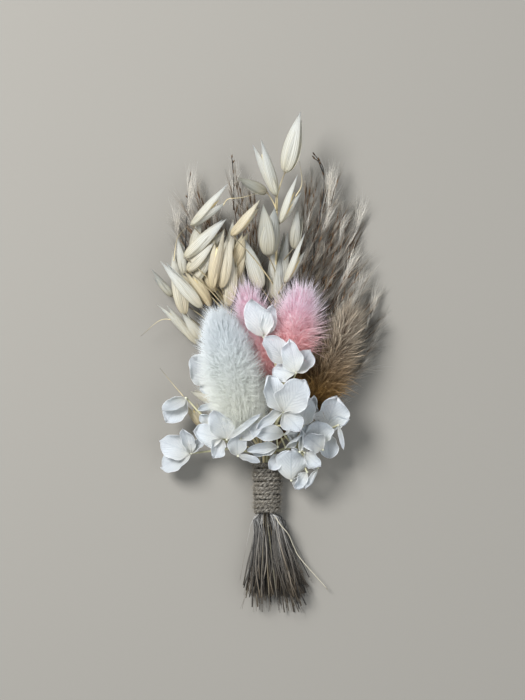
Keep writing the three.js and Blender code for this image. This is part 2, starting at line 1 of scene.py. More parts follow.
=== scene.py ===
# A dried-flower boutonniere lying on its back: oats, bunny tails, reed plumes and white hydrangea,
# bound with jute twine over their stalks. Shapes are worked out in millimetres, with Y = 0 at the top of
# the binding, and are moved to the frame's metres when a piece is made.
import math
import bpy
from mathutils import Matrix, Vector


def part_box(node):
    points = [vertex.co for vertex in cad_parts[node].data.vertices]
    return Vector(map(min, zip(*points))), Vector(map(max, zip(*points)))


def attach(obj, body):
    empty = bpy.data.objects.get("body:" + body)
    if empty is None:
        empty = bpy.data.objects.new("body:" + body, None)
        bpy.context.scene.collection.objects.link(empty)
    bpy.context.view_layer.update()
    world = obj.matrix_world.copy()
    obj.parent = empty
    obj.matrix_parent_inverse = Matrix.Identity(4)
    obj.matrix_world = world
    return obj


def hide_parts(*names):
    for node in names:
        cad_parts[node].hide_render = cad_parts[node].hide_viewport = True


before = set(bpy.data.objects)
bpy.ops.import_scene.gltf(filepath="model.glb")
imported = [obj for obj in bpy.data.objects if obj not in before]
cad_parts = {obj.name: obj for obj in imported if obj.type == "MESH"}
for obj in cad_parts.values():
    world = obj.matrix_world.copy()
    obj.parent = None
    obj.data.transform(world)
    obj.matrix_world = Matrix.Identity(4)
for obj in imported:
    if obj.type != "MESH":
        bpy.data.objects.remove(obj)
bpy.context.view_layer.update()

from types import SimpleNamespace

import bpy
import numpy as np
from mathutils import Vector

MM = 0.001
GOLDEN_ANGLE = math.pi * (3 - math.sqrt(5))
UP = np.array([0.0, 0.0, 1.0])
wrap_low, wrap_high = (np.array(corner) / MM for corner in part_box("twine_wrap"))
ORIGIN = np.array([(wrap_low[0] + wrap_high[0]) / 2, wrap_high[1], 0.0])
BIND_LENGTH = wrap_high[1] - wrap_low[1]
LOWEST = 0.00005  # metres over the table
SOFT_GAP, HAIR_GAP, STRAW_GAP = 0.1, 0.12, 0.3  # the least height of sepals and plumes, hair and husks, straw

# The binding, the lanes of the stalks in it, and the fan of cut ends below it.
TWINE = 1.6
BIND_RADIUS_TOP, BIND_RADIUS_END = 5.0, 4.5
BIND_HEIGHT = 4.0
LANE_PITCH = 1.25
STALK_RADIUS = 0.45
STALK_TOP = 2.5
STALK_REACH = 0.9
FAN_START = -BIND_LENGTH - 1
FAN_LENGTH = 31
FAN_LEAN, FAN_SPREAD, FAN_RISE = 3.4, 3.3, 0.5

# The photograph's frame.
MM_PER_PIXEL = 0.35
PHOTO_HEIGHT = 700
PHOTO_MIDDLE = np.array([-1.6, 39.2, 0.0])
CAMERA_HEIGHT = 1500
SENSOR = 36


# Small helpers on points, which are arrays of x, y and z.


def point(x, y, z):
    return np.array([x, y, z], float)


def unit(vectors):
    return vectors / np.maximum(np.linalg.norm(vectors, axis=-1, keepdims=True), 1e-9)


def mix(a, b, share):
    return a + (b - a) * share


def kept_above(places, height):
    """The same points, raised to the height where they are lower."""
    places[..., 2] = np.maximum(places[..., 2], height)
    return places


def smooth_route(points, steps):
    """Points along a smooth curve (Catmull-Rom) through the given ones, with so many steps between two."""
    knots = np.asarray(points, float)
    ends = np.vstack([2 * knots[0] - knots[1], knots, 2 * knots[-1] - knots[-2]])
    t = np.linspace(0, 1, steps, endpoint=False)[:, None]
    run = []
    for a, b, c, d in zip(ends, ends[1:], ends[2:], ends[3:]):
        run.append(b + 0.5 * t * (c - a + t * (2 * a - 5 * b + 4 * c - d + t * (3 * (b - c) + d - a))))
    return np.vstack([*run, knots[-1:]])


def bend(start, through, end, steps):
    t = np.linspace(0, 1, steps + 1)[:, None]
    return (1 - t) ** 2 * start + 2 * t * (1 - t) * through + t * t * end


def resampled(route, count):
    """The route with so many points, evenly spaced."""
    lengths = np.concatenate([[0], np.cumsum(np.linalg.norm(np.diff(route, axis=0), axis=1))])
    at = np.linspace(0, lengths[-1], count)
    return np.stack([np.interp(at, lengths, route[:, k]) for k in range(3)], axis=1)


def bowed(roots, way, reach, bow):
    """Three points along each hair: its root, its middle, and an end that bows away."""
    return np.stack([roots, roots + way * reach * 0.5, roots + (way + bow) * reach], axis=1)


def standing(along):
    """The directions across, along and out of a part that stands on its foot, as rows."""
    y = unit(along)
    x = unit(np.cross(y, UP))
    return np.stack([x, y, np.cross(x, y)])


class Heap:
    """Points and faces gathered for one piece, with the values that its material reads at each point:
    along and across its own part, and the part's shade."""

    def __init__(self):
        self.points, self.faces, self.values, self.count = [], [], [], 0

    def add(self, places, faces, along, across, shade):
        places = np.asarray(places, float).reshape(-1, 3)
        self.faces += [group + self.count for group in faces]
        self.points.append(places)
        spread = [np.broadcast_to(np.ravel(value), len(places)) for value in (along, across, shade)]
        self.values.append(np.stack(spread, axis=1))
        self.count += len(places)

    def piece(self, name, node, slot, material):
        places = kept_above((np.concatenate(self.points) + ORIGIN) * MM, LOWEST)
        corners = np.concatenate([group.ravel() for group in self.faces])
        sizes = np.concatenate([np.full(len(group), group.shape[1]) for group in self.faces])
        starts = np.concatenate([[0], np.cumsum(sizes)[:-1]])
        mesh = bpy.data.meshes.new(name)
        mesh.vertices.add(len(places))
        mesh.vertices.foreach_set("co", places.astype(np.float32).ravel())
        mesh.loops.add(len(corners))
        mesh.loops.foreach_set("vertex_index", corners.astype(np.int32))
        mesh.polygons.add(len(sizes))
        mesh.polygons.foreach_set("loop_start", starts.astype(np.int32))
        mesh.update(calc_edges=True)
        mesh.validate()
        mesh.shade_smooth()
        values = np.concatenate(self.values).astype(np.float32)
        for label, column in zip(("along", "across", "shade"), values.T):
            mesh.attributes.new(label, "FLOAT", "POINT").data.foreach_set("value", column.copy())
        mesh.materials.append(material)
        made = bpy.data.objects.new(name, mesh)
        bpy.context.collection.objects.link(made)
        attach(made, "root")
        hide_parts(node)


def grid_faces(rows, columns, closed=False):
    """The four-sided faces of a grid of points, whose last column meets its first if it is closed."""
    wide = columns if closed else columns - 1
    row, column = np.meshgrid(np.arange(rows - 1), np.arange(wide), indexing="ij")
    here, after = row * columns, (column + 1) % columns
    corners = [here + column, here + after, here + columns + after, here + columns + column]
    return np.stack(corners, axis=-1).reshape(-1, 4)


def tubes(heap, paths, radii, sides, shade, along=None, across=0.0, pointed=False):
    """Round stems along many paths at once, or along one. Radii and along have a value for each ring,
    shade and across one for each stem. A pointed stem is open at its foot, the others have flat ends."""
    paths = np.asarray(paths, float)
    paths = paths.reshape(-1, *paths.shape[-2:])
    stems, rings = paths.shape[:2]
    radii = np.array(np.broadcast_to(radii, (stems, rings)), float)
    if pointed:
        radii[:, -1] = 0
    tangents = unit(np.gradient(paths, axis=1))
    steep = np.abs(tangents[:, 0, 2:]) > 0.8
    side = unit(np.cross(tangents[:, 0], np.where(steep, point(1, 0, 0), UP)))
    sides_of = np.empty_like(paths)
    for ring in range(rings):
        tangent = tangents[:, ring]
        side = unit(side - (side * tangent).sum(1, keepdims=True) * tangent)
        sides_of[:, ring] = side
    fronts = np.cross(tangents, sides_of)
    turn = 2 * np.pi * np.arange(sides) / sides
    round_it = sides_of[:, :, None] * np.cos(turn)[:, None] + fronts[:, :, None] * np.sin(turn)[:, None]
    places = paths[:, :, None] + radii[:, :, None, None] * round_it

    full = rings - 1 if pointed else rings
    each = full * sides + 1 if pointed else full * sides
    around, last = np.arange(sides), (full - 1) * sides
    faces = [grid_faces(full, sides, closed=True)]
    if pointed:
        tip = np.full(sides, full * sides)
        faces.append(np.stack([last + around, last + (around + 1) % sides, tip], axis=-1))
    else:
        faces += [around[None, ::-1], last + around[None]]
    first = (np.arange(stems) * each)[:, None, None]
    faces = [(group + first).reshape(-1, group.shape[1]) for group in faces]
    along = np.broadcast_to(np.linspace(0, 1, rings) if along is None else along, (stems, rings))
    run = np.repeat(along, sides, axis=1)[:, :each]
    height, tone = (np.broadcast_to(np.reshape(value, (-1, 1)), (stems, each)) for value in (across, shade))
    heap.add(places.reshape(stems, -1, 3)[:, :each], faces, run, height, tone)


def sheet(heap, middle, thickness, along, across, shade):
    """A thin closed blade round a grid of middle points, with shape (rows, columns, 3)."""
    rows, columns = middle.shape[:2]
    down, over = np.gradient(middle, axis=0), np.gradient(middle, axis=1)
    half = unit(np.cross(over, down)) * (np.broadcast_to(thickness, (rows, columns)) / 2)[..., None]
    places = np.stack([middle + half, middle - half])
    top = grid_faces(rows, columns)
    under = top[:, ::-1] + rows * columns
    edge = np.concatenate([
        np.arange(columns), np.arange(2, rows) * columns - 1,
        np.arange(rows * columns - 1, (rows - 1) * columns - 1, -1), np.arange(rows - 2, 0, -1) * columns,
    ])
    after = np.roll(edge, -1)
    rim = np.stack([edge, edge + rows * columns, after + rows * columns, after], axis=-1)
    along, across = (np.broadcast_to(value, (2, rows, columns)) for value in (along, across))
    heap.add(places, [top, under, rim], along, across, shade)


def lump(heap, centre, radii, shade, rng):
    """A small irregular round body: a floret's button, or the neck under it."""
    rows, columns = 7, 10
    tall = np.linspace(0, np.pi, rows)[:, None]
    turn = (2 * np.pi * np.arange(columns) / columns)[None]
    size = 1 + 0.08 * rng.standard_normal((rows, columns))
    size[0], size[-1] = 1, 1
    x, y = np.sin(tall) * np.cos(turn) * size, np.sin(tall) * np.sin(turn) * size
    places = np.stack([x, y, -np.cos(tall) * size], axis=-1) * radii + centre
    run = np.repeat(np.linspace(0, 1, rows), columns)
    heap.add(places, [grid_faces(rows, columns, closed=True)], run, 0.0, shade)


# Materials. Node groups hold the effects that several materials use.


def colour(code):
    """A colour written as in print, #RRGGBB, in the linear values that the nodes use."""
    parts = [int(code[k : k + 2], 16) / 255 for k in (1, 3, 5)]
    return (*[c / 12.92 if c < 0.04045 else ((c + 0.055) / 1.055) ** 2.4 for c in parts], 1.0)


class Nodes:
    """Short words for making and joining the nodes of one tree."""

    def __init__(self, tree):
        self.tree = tree

    def new(self, kind, inputs=(), **settings):
        made = self.tree.nodes.new(kind)
        for key, value in settings.items():
            setattr(made, key, value)
        for key, value in dict(inputs).items():
            self.feed(made.inputs[key], value)
        return made

    def feed(self, socket, value):
        if isinstance(value, bpy.types.NodeSocket):
            self.tree.links.new(value, socket)
        else:
            socket.default_value = value

    def math(self, operation, *values, clamp=False):
        inputs = dict(enumerate(values))
        return self.new("ShaderNodeMath", inputs, operation=operation, use_clamp=clamp).outputs[0]

    def mask(self, value, gain, offset=0.0):
        """The value times the gain plus the offset, kept from 0 to 1."""
        return self.math("MULTIPLY_ADD", value, gain, offset, clamp=True)

    def blend(self, factor, a, b):
        return self.new("ShaderNodeMix", {0: factor, 6: a, 7: b}, data_type="RGBA").outputs[2]

    def tint(self, base, share, strength, code):
        """The base with a colour laid over it, by its share at each point and its strength overall."""
        return self.blend(self.math("MULTIPLY", share, strength), base, colour(code))

    def value(self, name):
        return self.new("ShaderNodeAttribute", attribute_name=name).outputs["Fac"]

    def speckle(self, scale, detail=3, stretch=None):
        where = self.new("ShaderNodeTexCoord").outputs["Object"]
        if stretch:
            where = self.new("ShaderNodeMapping", {"Vector": where, "Scale": stretch}).outputs[0]
        made = self.new("ShaderNodeTexNoise", {"Vector": where, "Scale": scale, "Detail": detail})
        return made.outputs["Fac"]

    def group(self, tree, **inputs):
        """A node group's result. Its Along, Across and Shade are the piece's own values."""
        made = self.new("ShaderNodeGroup", inputs, node_tree=tree)
        for label in ("Along", "Across", "Shade"):
            if label in made.inputs:
                self.feed(made.inputs[label], self.value(label.lower()))
        return made.outputs[0]


NUMBER, TINT = "NodeSocketFloat", "NodeSocketColor"
WHITE = (1.0, 1.0, 1.0, 1.0)


def effect(name, result_type, build, **defaults):
    """A node group with a named input for each default and one result. Build gets the nodes and the
    inputs by name."""
    group = bpy.data.node_groups.new(name, "ShaderNodeTree")
    for label, default in defaults.items():
        kind = NUMBER if isinstance(default, float) else TINT
        group.interface.new_socket(label, in_out="INPUT", socket_type=kind).default_value = default
    group.interface.new_socket("Result", in_out="OUTPUT", socket_type=result_type)
    nodes = Nodes(group)
    given = nodes.new("NodeGroupInput").outputs
    nodes.new("NodeGroupOutput", {0: build(nodes, given)})
    return group


def fibre_tone(nodes, given):
    """From the root's colour to the tip's, each fibre a little lighter or darker than the next."""
    run = nodes.math("POWER", given["Along"], given["Bias"])
    graded = nodes.blend(run, given["Root"], given["Tip"])
    spread = nodes.math("MULTIPLY", nodes.math("SUBTRACT", given["Shade"], 0.5), given["Spread"])
    level = nodes.math("ADD", spread, 1.0)
    return nodes.new("ShaderNodeHueSaturation", {"Color": graded, "Value": level}).outputs[0]


def rib_lines(nodes, given):
    """Fine lines that run along a husk, 1 on a line and 0 between two."""
    wave = nodes.math("COSINE", nodes.math("MULTIPLY", given["Across"], given["Count"]))
    return nodes.math("POWER", nodes.math("ABSOLUTE", wave), given["Sharpness"])


def petal_veins(nodes, given):
    """A midrib and forked side veins, 1 on a vein and 0 between two."""
    side = nodes.math("ABSOLUTE", given["Across"])
    midrib = nodes.math("SUBTRACT", 1.0, nodes.math("MULTIPLY", side, 14.0), clamp=True)
    slant = nodes.math("SUBTRACT", given["Along"], nodes.math("MULTIPLY", side, 0.62))
    worn = nodes.math("ADD", slant, nodes.math("MULTIPLY", nodes.speckle(420.0), 0.16))
    wave = nodes.math("ABSOLUTE", nodes.math("SINE", nodes.math("MULTIPLY", worn, given["Count"])))
    lines = nodes.math("POWER", nodes.math("SUBTRACT", 1.0, wave), 5.0)
    return nodes.math("MAXIMUM", midrib, lines)


FIBRE_TONE = effect(
    "fibre tone", TINT, fibre_tone, Root=WHITE, Tip=WHITE, Along=0.5, Shade=0.5, Bias=1.0, Spread=0.3)
RIB_LINES = effect("rib lines", NUMBER, rib_lines, Across=0.0, Count=15.0, Sharpness=8.0)
PETAL_VEINS = effect("petal veins", NUMBER, petal_veins, Across=0.0, Along=0.0, Count=26.0)


def material(name, tone, roughness, glow=0.0, relief=None, relief_height=0.0001, specular=0.35):
    """A finish: tone gives the colour socket, glow is the share of light that comes through from behind,
    and relief gives the height socket of a bump."""
    made = bpy.data.materials.new(name)
    made.use_nodes = True
    nodes = Nodes(made.node_tree)
    made.node_tree.nodes.clear()
    shade = tone(nodes)
    body = nodes.new("ShaderNodeBsdfPrincipled", {
        "Base Color": shade, "Roughness": roughness, "Specular IOR Level": specular,
    })
    if relief:
        bump = nodes.new("ShaderNodeBump", {
            "Height": relief(nodes), "Distance": relief_height, "Strength": 1.0,
        })
        nodes.feed(body.inputs["Normal"], bump.outputs[0])
    surface = body.outputs[0]
    if glow:
        through = nodes.new("ShaderNodeBsdfTranslucent", {"Color": shade})
        surface = nodes.new("ShaderNodeMixShader", {0: glow, 1: surface, 2: through.outputs[0]}).outputs[0]
    nodes.new("ShaderNodeOutputMaterial", {"Surface": surface}, is_active_output=True)
    return made


def grade(nodes, root, tip, bias, spread):
    return nodes.group(FIBRE_TONE, Root=colour(root), Tip=colour(tip), Bias=bias, Spread=spread)


def hair_tone(root, tip, low_root, low_tip, bias, spread):
    """Hair whose colour changes from root to tip, and from the base of the head (across = 0) to its top."""
    def tone(nodes):
        upper = grade(nodes, root, tip, bias, spread)
        lower = grade(nodes, low_root, low_tip, bias, spread)
        return nodes.blend(nodes.mask(nodes.value("across"), 1.7, -0.32), lower, upper)
    return tone


def husk_tone(nodes):
    """Bleached husks are cream at the foot and bluish white from the middle on, golden ones are straw
    yellow, and thin ones are greyish and darker, a painted shade where they look dim. Fine nerves run along
    them."""
    shade = nodes.value("shade")
    bleached = grade(nodes, "#dfd8be", "#f2f5f5", 0.5, 0.0)
    golden = grade(nodes, "#dcc48c", "#f6eed6", 0.55, 0.0)
    # empty: a darker, greyer copy of the husk tone, painted shade for thin husks that look dim
    empty = grade(nodes, "#aaa085", "#b3b6b0", 0.5, 0.0)
    dressed = nodes.blend(nodes.mask(shade, 1.0), bleached, golden)
    base = nodes.blend(nodes.mask(shade, -2.0), dressed, empty)
    edge = nodes.math("POWER", nodes.math("ABSOLUTE", nodes.value("across")), 6.0)
    rimmed = nodes.tint(base, edge, 0.35, "#e0d8b8")
    ribbed = nodes.tint(rimmed, nodes.group(RIB_LINES, Sharpness=4.0), 0.38, "#a39d88")
    return nodes.tint(ribbed, nodes.mask(nodes.speckle(260.0), 1.2, -0.42), 0.25, "#dcc894")


def husk_relief(nodes):
    return nodes.group(RIB_LINES, Sharpness=3.0)


def sepal_tone(nodes):
    """Bleached white with a cool, faintly blue middle and a trace of green at the claw, with a painted
    highlight: a whiter rim where the curled edges catch the light.
    """
    body = grade(nodes, "#ebe7d8", "#e9eef2", 0.4, 0.2)
    veined = nodes.tint(body, nodes.group(PETAL_VEINS), 0.25, "#b7c2ca")
    mottled = nodes.tint(veined, nodes.mask(nodes.speckle(180.0), 1.4, -0.5), 0.3, "#dcd9de")
    grained = nodes.tint(mottled, nodes.mask(nodes.speckle(1500.0, 2), 2.2, -0.8), 0.18, "#b9c3cf")
    side = nodes.math("ABSOLUTE", nodes.value("across"))
    # rim: a painted highlight, white laid over the edges and the tip where the light catches them
    rim = nodes.math("POWER", nodes.math("MAXIMUM", side, nodes.value("along")), 14.0)
    return nodes.tint(grained, rim, 0.85, "#ffffff")


def sepal_relief(nodes):
    crinkle = nodes.math("MULTIPLY", nodes.speckle(700.0, 5), 1.4)
    return nodes.math("ADD", nodes.group(PETAL_VEINS), crinkle)


def straw_tone(root, tip, streak, spread, bias=1.0):
    """Dry stalk: a grade of colour with darker streaks along it."""
    def tone(nodes):
        marks = nodes.mask(nodes.speckle(700.0, 4, (1.0, 0.12, 1.0)), 3.0, -1.3)
        return nodes.tint(grade(nodes, root, tip, bias, spread), marks, 0.5, streak)
    return tone


def straw_relief(nodes):
    return nodes.speckle(1500.0, 3, (1.0, 0.1, 1.0))


def stalk_finish(name, tones, roughness, relief_height=0.00003, specular=0.35):
    return material(name, straw_tone(*tones), roughness, 0.0, straw_relief, relief_height, specular)


def yarn_streaks(nodes):
    """Streaks along the yarn, from noise drawn out along its run."""
    run = nodes.math("MULTIPLY", nodes.value("along"), 60.0)
    place = nodes.new("ShaderNodeCombineXYZ", {0: nodes.value("across"), 1: run, 2: nodes.value("shade")})
    noise = nodes.new("ShaderNodeTexNoise", {"Vector": place.outputs[0], "Scale": 7.0, "Detail": 4.0})
    return noise.outputs["Fac"]


def jute_tone(nodes):
    """Coarse brown yarn: pale and dark fibres that follow each ply."""
    body = grade(nodes, "#2c2721", "#2c2721", 1.0, 0.25)
    pale = nodes.tint(body, nodes.mask(yarn_streaks(nodes), 2.8, -1.05), 0.9, "#b3ada0")
    return nodes.tint(pale, nodes.mask(nodes.speckle(350.0), 2.2, -0.9), 0.65, "#352e27")


def fuzz_tone(nodes):
    return grade(nodes, "#7d7263", "#c0b7a5", 1.0, 0.5)


WHITE_HAIR = material(
    "white_tail_hair", hair_tone("#eef3f4", "#f8fbfc", "#f6f6ec", "#fefff9", 0.6, 0.08), 0.8, 0.45)
PINK_HAIR = material(
    "pink_tail_hair", hair_tone("#ffd8e5", "#fffaff", "#ffafb0", "#ffe2e0", 0.9, 0.12), 0.8, 0.5)
BROWN_HAIR = material(
    "brown_tail_hair", hair_tone("#6b5036", "#ddd2bf", "#66461f", "#a9854c", 1.0, 1.5), 0.75, 0.35)
PLUME_HAIR = material(
    "reed_plume_hair", hair_tone("#8f7c5e", "#ece9e2", "#71572f", "#c9b793", 0.9, 0.8), 0.6, 0.5)
REED_HUSK = material("reed_husk", straw_tone("#5a3c20", "#8f6c42", "#2c1e10", 0.9), 0.7, 0.1)
HUSK = material("oat_husk", husk_tone, 0.5, 0.47, husk_relief)
GRAIN = material(
    "oat_grain", straw_tone("#d3b06a", "#f0dfae", "#a98a4e", 0.3), 0.55, 0.1, straw_relief, 0.00004)
SEPAL = material("hydrangea_sepal", sepal_tone, 0.5, 0.52, sepal_relief, 0.00016, 0.4)
BUTTON = material("hydrangea_button", straw_tone("#b4b48f", "#dddcc8", "#8f8f66", 0.5), 0.6, 0.1)
OAT_STALK = stalk_finish("oat_stalk", ("#e8d8ac", "#57524a", "#8d7a50", 0.3), 0.5)
PALE_STALK = stalk_finish("pale_stalk", ("#c3b48e", "#bdb6a3", "#8d8069", 0.2), 0.5)
GREEN_STALK = stalk_finish("hydrangea_stalk", ("#cdc8a4", "#524d45", "#8f8b5f", 0.3), 0.55)
GRASS_STRAW = stalk_finish("grass_straw", ("#a8a8a5", "#4a4032", "#1c160f", 2.1, 0.6), 0.42, 0.00005, 0.5)
JUTE = material("jute_twine", jute_tone, 0.6, 0.0, yarn_streaks, 0.00025, 0.4)
JUTE_FUZZ = material("jute_fuzz", fuzz_tone, 0.7, 0.3)


# The stalks, from the heads down through the binding to the fan of cut ends.


def lane(ring, degrees):
    reach = LANE_PITCH * (math.sqrt(3) if ring == 2 and degrees % 60 else ring)
    return np.array([reach * math.cos(math.radians(degrees)), reach * math.sin(math.radians(degrees))])


def in_lane(at, y):
    return point(at[0], y, BIND_HEIGHT + at[1])


def in_fan(at, aside, share, reach):
    """A point of the fan of cut ends. Share runs from 0 at the binding to 1 at the end, aside is a step
    away from the middle of the lane, and reach shortens or lengthens this stalk."""
    opened = mix(share, share * share * (3 - 2 * share), 0.35)
    x = at[0] * (1 + FAN_SPREAD * opened) + aside[0] * (0.4 + 6.1 * opened) + FAN_LEAN * share
    z = at[1] * (1 + FAN_RISE * opened) + aside[1] * (0.5 + 1.4 * opened)
    return point(x, FAN_START - FAN_LENGTH * reach * share, BIND_HEIGHT + z)


def through_stalk(heap, at, above, rng, own_way=None):
    """One stalk from the points above, down its lane through the binding, to its cut end."""
    fan = own_way or [in_fan(at, (0, 0), share, STALK_REACH) for share in (0.1, 0.35, 0.7, 1)]
    route = smooth_route([*above, in_lane(at, STALK_TOP), in_lane(at, FAN_START), *fan], 8)
    rings = len(route)
    thick = STALK_RADIUS * np.interp(route[:, 1], [FAN_START - FAN_LENGTH, FAN_START, 0], [0.36, 0.44, 0.95])
    thick = thick * (1 + 0.06 * np.sin(np.linspace(0, 23, rings)) + 0.03 * rng.standard_normal(rings))
    lower = np.interp(-route[:, 1], [0, BIND_LENGTH - 2], [0, 1])
    tubes(heap, route, thick, 9, rng.uniform(0.2, 0.9), lower)


# A brush's straws and its finer fibres: how many, the least and greatest radius, rings and sides.
BRUSH_PARTS = ((25, (0.11, 0.27), 14, 5), (46, (0.05, 0.1), 9, 4))
BRUSH_SPREAD = 0.62


def brush(heap, at, rng, top):
    """A bunch of thin straws and finer fibres in one lane, cut off level above the binding and frayed into
    a fan below it."""
    for count, sizes, rings, sides in BRUSH_PARTS:
        fine = sides == 4
        paths = []
        for k in range(count):
            angle = GOLDEN_ANGLE * k + rng.uniform(0, 1)
            out = BRUSH_SPREAD * math.sqrt((k + 0.6) / count) * (1.25 if fine else 1)
            aside = np.array([out * math.cos(angle), 0.85 * out * math.sin(angle)])
            reach = rng.uniform(0.92, 1.08) if rng.uniform() < 0.14 else 0.56 + 0.34 * rng.beta(2.4, 1)
            sway = rng.normal(0, 1.2 if fine else 1.0, 2)
            wave = rng.normal(0, 0.18)
            above = in_lane(at, FAN_START + 1.8 if fine else top - rng.uniform(0, 1.5))
            knots = [
                above + point(0.35 * aside[0], 0, 0.35 * aside[1]),
                in_lane(at, FAN_START + 1.1) + point(0.6 * aside[0], 0, 0.6 * aside[1]),
                in_lane(1.7 * at, FAN_START + 0.35) + point(2.4 * aside[0] + 0.6, 0, 1.3 * aside[1]),
            ]
            for share in (0.03, 0.1, 0.3, 0.62, 1):
                spot = in_fan(at, aside, share, reach)
                early = (1 - share) ** 3
                spot[0] += (1.2 * at[0] + 2.4 * aside[0] + 0.7) * early + sway[0] * math.sin(3.4 * share)
                spot[0] += wave * math.sin(8 * share)
                spot[2] += 0.45 * at[1] * early + 1.2 * aside[1] * early + 0.6 * sway[1] * share
                knots.append(kept_above(spot, STRAW_GAP))
            paths.append(resampled(smooth_route(knots, 5), rings))
        radii = rng.uniform(*sizes, (count, 1)) * np.linspace(0.9, 1.05, rings)
        if fine:
            radii = radii * np.linspace(1, 0.5, rings)
        tubes(heap, paths, radii, sides, rng.beta(0.6, 0.8, count))


# Bunny tails. Of each head: its base and tip, the core's radius and the share of it that is dense, the
# reach of the hair (fluff), how far it leans to the tip and how much more low down, how much it gathers in
# tufts, wanders and widens at the foot (skirt), the share of hairs that stray and how far the longest do,
# and how many long single hairs guard it. One stalk has its own way out below the binding.
usual_head = dict(
    dense=0.86, tufts=400, lean=0.55, gather=0.0, wander=0.09, skirt=0.0, hair_radius=0.058, patchy=0.4,
    strays=0.3, longest=1.45, own_way=None)
tails = {
    "white_bunny_tail": dict(
        at=lane(2, 120), via=[(-4, 7, 10)], base=point(-7.7, 13, 15), tip=point(-16.9, 50, 21.6), core=6.6,
        dense=0.82, fluff=10.6, tufts=900, hairs=15200, low_lean=1.2, wander=0.16, skirt=0.2,
        hair_radius=0.044, strays=0.16, longest=1.32, guards=2000, guard_length=(2.4, 5.6), seed=11,
        slot="white_tail", material=WHITE_HAIR),
    "right_pink_bunny_tail": dict(
        at=lane(1, 60), via=[(5.5, 26, 11), (3, 14, 7)], base=point(7.4, 35.5, 15),
        tip=point(12.2, 58.7, 17.6), core=5.2, fluff=7.8, hairs=6400, low_lean=2.1, guards=800,
        guard_length=(4.2, 9.4), seed=23, slot="pink_tail", material=PINK_HAIR),
    "left_pink_bunny_tail": dict(
        at=lane(1, 120), via=[(-1.5, 24, 8.5), (-1, 14, 6)], base=point(-0.3, 30.4, 13),
        tip=point(-7.4, 59.4, 12.8), core=4.7, fluff=7.0, hairs=6000, low_lean=1.8, guards=640,
        guard_length=(4, 9), seed=37, slot="pink_tail", material=PINK_HAIR),
    "brown_bunny_tail": dict(
        at=lane(2, 0), via=[(8, 10.5, 5.5)], base=point(14.4, 19, 10), tip=point(29, 50.8, 11.4), core=5.0,
        dense=0.62, fluff=8.0, tufts=420, hairs=10600, lean=0.75, low_lean=0.8, gather=0.1, wander=0.17,
        longest=1.4, patchy=0.45, hair_radius=0.056, guards=520, guard_length=(3, 9), seed=41,
        slot="brown_tail", material=BROWN_HAIR, own_way=[
            (2.9, -19, 7.6), (4.6, -21.6, 8.4), (7.4, -25, 6.8), (9.4, -29.6, 4.6), (11.8, -33.8, 4.4),
            (21.3, -44.6, 2.4),
        ]),
}
FORWARD = np.array([0, 1, 0])
PRESSED_ABOVE, PRESSED_SHARE = 27.6, 0.45
CORE_GRID = 24, 22


def egg(phi, theta, radius, length):
    """Points of the egg that a bunny tail's core is, with Y along it, and the way out of its surface."""
    out = radius * np.sin(phi) * (1 + 0.14 * np.cos(phi))
    y = length * (1 - np.cos(phi)) / 2
    places = np.stack([out * np.cos(theta), y, out * np.sin(theta)], axis=-1)
    away = np.stack([np.sin(phi) * np.cos(theta), -np.cos(phi), np.sin(phi) * np.sin(theta)], axis=-1)
    return places, away


def on_head(tail, places):
    return places @ standing(tail.tip - tail.base) + tail.base


def settled(hair):
    """Hair kept above the floor, and its highest ends pressed down a little."""
    hair = kept_above(hair, HAIR_GAP)
    hair[..., 2] -= PRESSED_SHARE * np.maximum(hair[..., 2] - PRESSED_ABOVE, 0)
    return hair


def forward(out, phi):
    """The way to the tip: straight along on the lower half, and round the end on the upper half."""
    rising = np.cos(phi)[:, None] > 0
    return np.where(rising, FORWARD, unit(unit(out * [1, 0, 1]) * 0.35 + FORWARD))


def tail_hair(heap, tail, rng):
    """Fine hair that leaves the core on all sides and leans to the tip, loosely gathered in tufts."""
    tufts, hairs = tail.tufts, tail.hairs
    size = tail.dense * tail.core, np.linalg.norm(tail.tip - tail.base)
    tuft_phi = np.arccos(1 - 2 * (0.01 + 0.98 * (np.arange(tufts) + 0.5) / tufts))
    tuft_theta = GOLDEN_ANGLE * np.arange(tufts)
    of = rng.integers(0, tufts, hairs)
    phi = np.clip(tuft_phi[of] + rng.normal(0, 0.07, hairs), 0.02, np.pi - 0.02)
    theta = tuft_theta[of] + rng.normal(0, 0.13, hairs) / np.maximum(np.sin(phi), 0.2)
    roots, out = egg(phi, theta, *size)
    middles, middle_out = egg(tuft_phi[of], tuft_theta[of], *size)
    full = (tail.fluff - size[0]) * (1 + tail.skirt * np.cos(phi / 2)[:, None] ** 2)
    reach = full * (0.34 + 0.66 * rng.beta(2.0, 1.7, (hairs, 1)))
    stray = (rng.uniform(0, 1, hairs) > 1 - tail.strays)[:, None]
    reach = np.where(stray, full * rng.uniform(0.95, tail.longest, (hairs, 1)), reach)
    low = np.clip(np.cos(phi), 0, 1)[:, None]
    lean = tail.lean * (1 + tail.low_lean * low) * rng.uniform(0.5, 1.5, (hairs, 1))
    wander = rng.normal(0, tail.wander, roots.shape)
    way = unit(out + lean * forward(out, phi) + wander)
    stretch = 1 + 0.45 * lean
    ends = roots + way * reach * stretch
    tuft_ends = middles + unit(middle_out + tail.lean * forward(middle_out, tuft_phi[of])) * full
    ends = mix(ends, tuft_ends, np.where(stray, 0.0, tail.gather))
    bends = roots + unit(out + 0.45 * lean * forward(out, phi) + 0.6 * wander) * reach * 0.52 * stretch
    paths = np.stack([roots - out * 0.3, mix(bends, mix(roots, ends, 0.5), 0.3), ends], axis=1)
    thick = rng.uniform(0.7, 1.3, (hairs, 1)) * tail.hair_radius * [1.0, 0.85, 0.12]
    thick = np.where(stray, 0.7, 1.0) * thick
    shade = rng.uniform(0, 1, tufts)[of] * tail.patchy + rng.uniform(0, 1 - tail.patchy, hairs)
    world = settled(on_head(tail, paths))
    tubes(heap, world, thick, 3, shade, across=(1 - np.cos(phi)) / 2, pointed=True)


